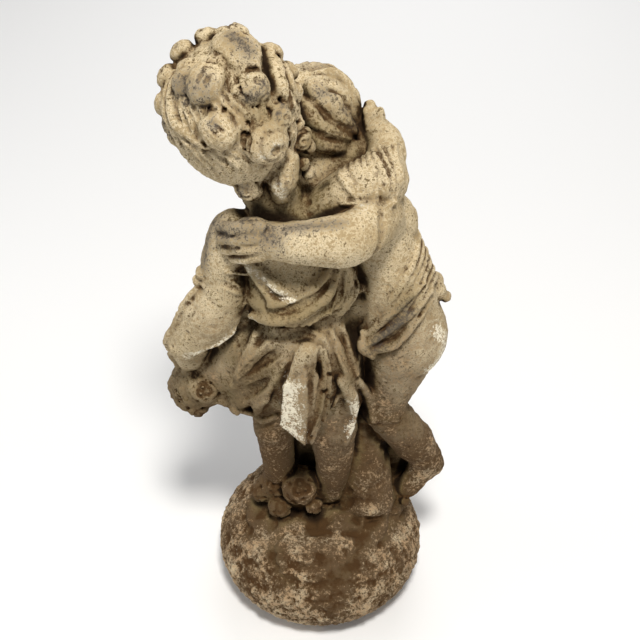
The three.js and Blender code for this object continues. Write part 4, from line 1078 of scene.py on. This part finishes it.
def near_line(stops, reach):
    # 1 on a line through the stops, fading to 0 at the reach
    stations = bent(stops, 8 * (len(stops) - 1)) if len(stops) > 1 else vec(stops)
    gap = np.min([np.linalg.norm(spots - s, axis=1) for s in stations], axis=0)
    return np.clip(1 - gap / reach, 0, 1)


def patches(name, lines):
    # lines through the places where the concrete is worn, dirty or in painted shade, or grown with lichen
    keep(name, np.max([near_line(stops, reach) for stops, reach in lines], axis=0))


patches("worn", [
    ([(-24, -56, 190), (-26, -56, 160), (-20, -56, 138)], 16),
    ([(26, -38, 160), (32, -36, 140), (26, -36, 118)], 9),
    ([(10, -46, 264), (-10, -50, 254), (-34, -46, 246), (-52, -34, 246)], 6),
    ([(-54, -36, 296), (-36, -42, 280), (-20, -48, 272)], 6),
    ([(-66, -30, 226), (-86, -36, 210), (-104, -32, 200)], 8),
    ([(-10, -60, 306), (-40, -52, 306), (-56, -42, 308)], 7),
    ([(-30, -36, 364), (-26, -36, 354)], 8),
    ([(-48, -30, 456)], 6),
    ([(-30, -46, 410), (-38, -50, 404)], 6),
    ([(24, -32, 350), (36, -30, 352)], 8),
    ([(-40, -60, 310), (-10, -64, 308), (14, -60, 308)], 6),
    ([(94, -14, 216), (100, -10, 190), (90, -24, 176)], 10),
])
# dirt and painted shade: the blouse under her forearm, the skirt's left side, the roses, the knee and
# calf, between the legs, under the arms, the neck and between the heads
patches("grime_and_shade", [
    ([(-44, -38, 264), (-14, -50, 262), (10, -42, 262)], 46),
    ([(-46, -44, 200), (-62, -36, 170), (-78, -26, 150), (-54, -34, 140)], 34),
    ([(-106, -12, 142), (-108, -8, 124)], 36),
    ([(40, -16, 130), (58, -22, 118), (74, -14, 112)], 28),
    ([(84, -8, 62), (104, 0, 36), (76, -6, 8)], 26),
    ([(42, -34, 208), (56, -32, 230), (68, -26, 256)], 24),
    ([(6, -52, 208), (4, -52, 176), (0, -52, 156)], 17),
    ([(22, -40, 210), (26, -38, 184)], 16),
    ([(-40, -24, 112), (-38, -18, 40)], 32),
    ([(30, -10, 60), (20, -20, 20)], 40),
    ([(-16, -14, 336), (10, -8, 334)], 26),
    ([(-34, -26, 350), (-14, -22, 372), (-6, -6, 392)], 16),
    ([(-14, 18, 378), (4, 20, 376), (20, 26, 370)], 40),
    ([(-44, -30, 432), (-36, -34, 420)], 26),
    ([(-64, -30, 200), (-84, -30, 190), (-100, -26, 186)], 16),
])
patches("lichen", [
    ([(-76, -36, 444), (-92, -26, 442)], 17),
    ([(-58, -10, 470), (-48, -16, 462)], 13),
    ([(-46, -36, 440), (-38, -30, 442)], 9),
    ([(-28, -34, 424), (-24, -28, 428)], 7),
    ([(-70, -50, 428)], 7),
    ([(-106, -8, 416), (-106, -14, 402)], 10),
    ([(-54, -36, 366), (-58, -34, 358)], 7),
    ([(-70, -36, 328), (-50, -46, 338), (-36, -52, 336)], 20),
    ([(-24, -48, 341), (0, -46, 342), (16, -44, 340)], 9),
    ([(-78, -16, 322), (-90, -26, 290)], 14),
    ([(46, -34, 214), (58, -32, 236), (70, -28, 250)], 11),
    ([(0, 30, 404), (14, 30, 390), (22, 34, 376)], 9),
    ([(42, -36, 212), (56, -32, 226), (66, -30, 240)], 9),
])


class Wire:
    # a socket that adds a Math node for each sign written on it
    def __init__(self, tree, socket):
        self.tree = tree
        self.socket = socket

    def maths(self, operation, first, second):
        node = self.tree.nodes.new("ShaderNodeMath")
        node.operation = operation
        for place, value in enumerate((first, second)):
            if isinstance(value, Wire):
                self.tree.links.new(value.socket, node.inputs[place])
            else:
                node.inputs[place].default_value = value
        return Wire(self.tree, node.outputs[0])

    def __add__(self, other):
        return self.maths("ADD", self, other)

    def __sub__(self, other):
        return self.maths("SUBTRACT", self, other)

    def __rsub__(self, other):
        return self.maths("SUBTRACT", other, self)

    def __mul__(self, other):
        return self.maths("MULTIPLY", self, other)

    __radd__ = __add__
    __rmul__ = __mul__


class Finish:
    # a material's nodes, added one at a time by type, settings and inputs
    def __init__(self, name):
        self.material = bpy.data.materials.new(name)
        self.material.use_nodes = True
        self.tree = self.material.node_tree
        self.tree.nodes.clear()

    def node(self, kind, settings=(), inputs=(), output=0):
        made = self.tree.nodes.new(kind)
        for key, value in dict(settings).items():
            setattr(made, key, value)
        for key, value in dict(inputs).items():
            if isinstance(value, Wire):
                self.tree.links.new(value.socket, made.inputs[key])
            else:
                made.inputs[key].default_value = value
        return Wire(self.tree, made.outputs[output])

    def within(self, value, low, high):
        # 0 below low, 1 above high
        return self.node(
            "ShaderNodeMapRange",
            {"interpolation_type": "SMOOTHSTEP"},
            {"Value": value, "From Min": low, "From Max": high},
        )

    def grain(self, where, per_metre, detail, roughness=0.55):
        return self.node(
            "ShaderNodeTexNoise",
            {},
            {"Vector": where, "Scale": per_metre, "Detail": detail, "Roughness": roughness},
        )

    def mix(self, share, first, second):
        return self.node(
            "ShaderNodeMix",
            {"data_type": "RGBA"},
            {0: share, 6: first, 7: second},
            output=2,
        )

    def finish(self, shader):
        end = self.tree.nodes.new("ShaderNodeOutputMaterial")
        self.tree.links.new(shader.socket, end.inputs["Surface"])

    def painted(self, name):
        return self.node("ShaderNodeAttribute", {"attribute_name": name}, {}, output=2)


stone = Finish("weathered_concrete")
where = stone.node("ShaderNodeTexCoord", output=3)
height = stone.node("ShaderNodeSeparateXYZ", {}, {0: where}, output=2)
normal = stone.node("ShaderNodeNewGeometry", output=1)
upward = stone.node("ShaderNodeSeparateXYZ", {}, {0: normal}, output=2)
crevice_shade_and_dirt = stone.painted("crevice_shade_and_dirt")
hollow_shade_and_dirt = stone.painted("hollow_shade_and_dirt")
worn = stone.painted("worn")
lichen = stone.painted("lichen")
grimy_and_shaded = stone.painted("grime_and_shade")

broad = stone.grain(where, 13, 3) - 0.5
patchy = stone.grain(where, 34, 6, 0.62) - 0.5
blotch = stone.grain(where, 95, 5, 0.68) - 0.5
speckle = stone.grain(where, 360, 3, 0.7) - 0.5
grit = stone.grain(where, 900, 2, 0.6) - 0.5
sprayed = blotch * 1.4 + speckle * 3.2 + grit * 1.6
pore_cells = stone.node(
    "ShaderNodeTexVoronoi", {}, {"Vector": where, "Scale": 210.0, "Randomness": 1.0}
)
pore_here = stone.within(blotch, 0.06, 0.16)
pore = (1 - stone.within(pore_cells + grit * 0.3, 0.08, 0.24)) * pore_here

pale = (0.74, 0.62, 0.42, 1)
beige = (0.38, 0.285, 0.155, 1)
ochre = (0.34, 0.235, 0.105, 1)
olive = (0.19, 0.14, 0.062, 1)
umber = (0.068, 0.033, 0.012, 1)
tan = (0.44, 0.30, 0.17, 1)
shadow_black = (0.012, 0.007, 0.004, 1)
slate = (0.095, 0.08, 0.066, 1)
white = (0.92, 0.85, 0.68, 1)

# browner and darker towards the bottom, darkest on top of the mound
low_down = 1 - stone.within(height + broad * 0.24 + patchy * 0.16 + blotch * 0.1, 0.18, 0.39)
light_earth = stone.mix(stone.within(blotch + sprayed * 0.4, -0.25, 0.25), tan, pale)
high_up = stone.within(height + patchy * 0.05, 0.045, 0.1)
# the mound's dark earth gathers in its creases and recesses, partly painted shade
earth_share = patchy * 2.2 + broad * 1.5 + sprayed * 1.1 + high_up * 0.55 + hollow_shade_and_dirt * 0.5 + crevice_shade_and_dirt * 0.9
earth = stone.mix(stone.within(earth_share, -0.5, 0.62) * 0.97, light_earth, umber)
stain = lichen * 1.3 + patchy * 1.6 + sprayed * 0.9 + stone.within(upward, 0.3, 1.0) * 0.08
stain_here = stone.within(lichen, 0, 0.25) * 0.8 + 0.08
flake = worn * 1.25 + sprayed * 1.2 + patchy * 0.8 - hollow_shade_and_dirt * 0.6
flake_here = stone.within(worn, 0, 0.2) * 0.85

# washes of colour, each over the one before: where it shows and how strongly, and its colour
skin_tone = beige
for share, colour in [
    (stone.within(patchy * 1.6 + sprayed * 0.9, -0.42, 0.3), pale),
    (stone.within(blotch * 1.2 + broad * 1.2 + sprayed * 0.4, 0, 0.6) * 0.6, ochre),
    (stone.within(sprayed + patchy * 0.8, 0.1, 0.6) * 0.75, olive),
    (stone.within(speckle * 3.4 + blotch * 1.4 + grit, 0.38, 0.9) * 0.6, umber),
    # dirt and painted shade: olive darkening over these patches
    (stone.within(grimy_and_shaded * 0.8 + patchy * 1.2 + sprayed * 0.5, 0, 0.9) * 0.8, olive),
    (low_down * 0.94, earth),
    # painted shade, partly dirt: olive in the recesses
    (stone.within(hollow_shade_and_dirt * 1.1 + patchy * 0.8 + sprayed * 0.35, 0.1, 1.0) * 0.8, olive),
    # painted shade, partly dirt: umber in the creases
    (stone.within(crevice_shade_and_dirt * 0.95 + hollow_shade_and_dirt * 0.4 + sprayed * 0.4, 0.16, 0.85) * 0.9, umber),
    # painted shade: very dark at the bottom of the deepest recesses
    (stone.within(hollow_shade_and_dirt, 0.58, 0.95) * 0.85, shadow_black),
    (stone.within(stain, 0.1, 1.5) * stain_here, slate),
    (stone.within(flake, 0.35, 1.15) * flake_here, white),
    (pore * 0.85, umber),
]:
    skin_tone = stone.mix(share, skin_tone, colour)

lumps = blotch * 0.8 + speckle * 0.5 + patchy * low_down * 2.4 - pore * 0.4
bump = stone.node("ShaderNodeBump", {}, {"Strength": BUMP_STRENGTH, "Distance": BUMP_DEPTH,
                                               "Height": lumps})
shader = stone.node(
    "ShaderNodeBsdfPrincipled",
    {},
    {"Base Color": skin_tone, "Roughness": ROUGHNESS + speckle * 0.2, "Normal": bump,
     "Specular IOR Level": SHINE},
)
stone.finish(shader)
thinned.materials.clear()
thinned.materials.append(stone.material)

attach(casting, "root")
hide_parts("cherub_sculpture")
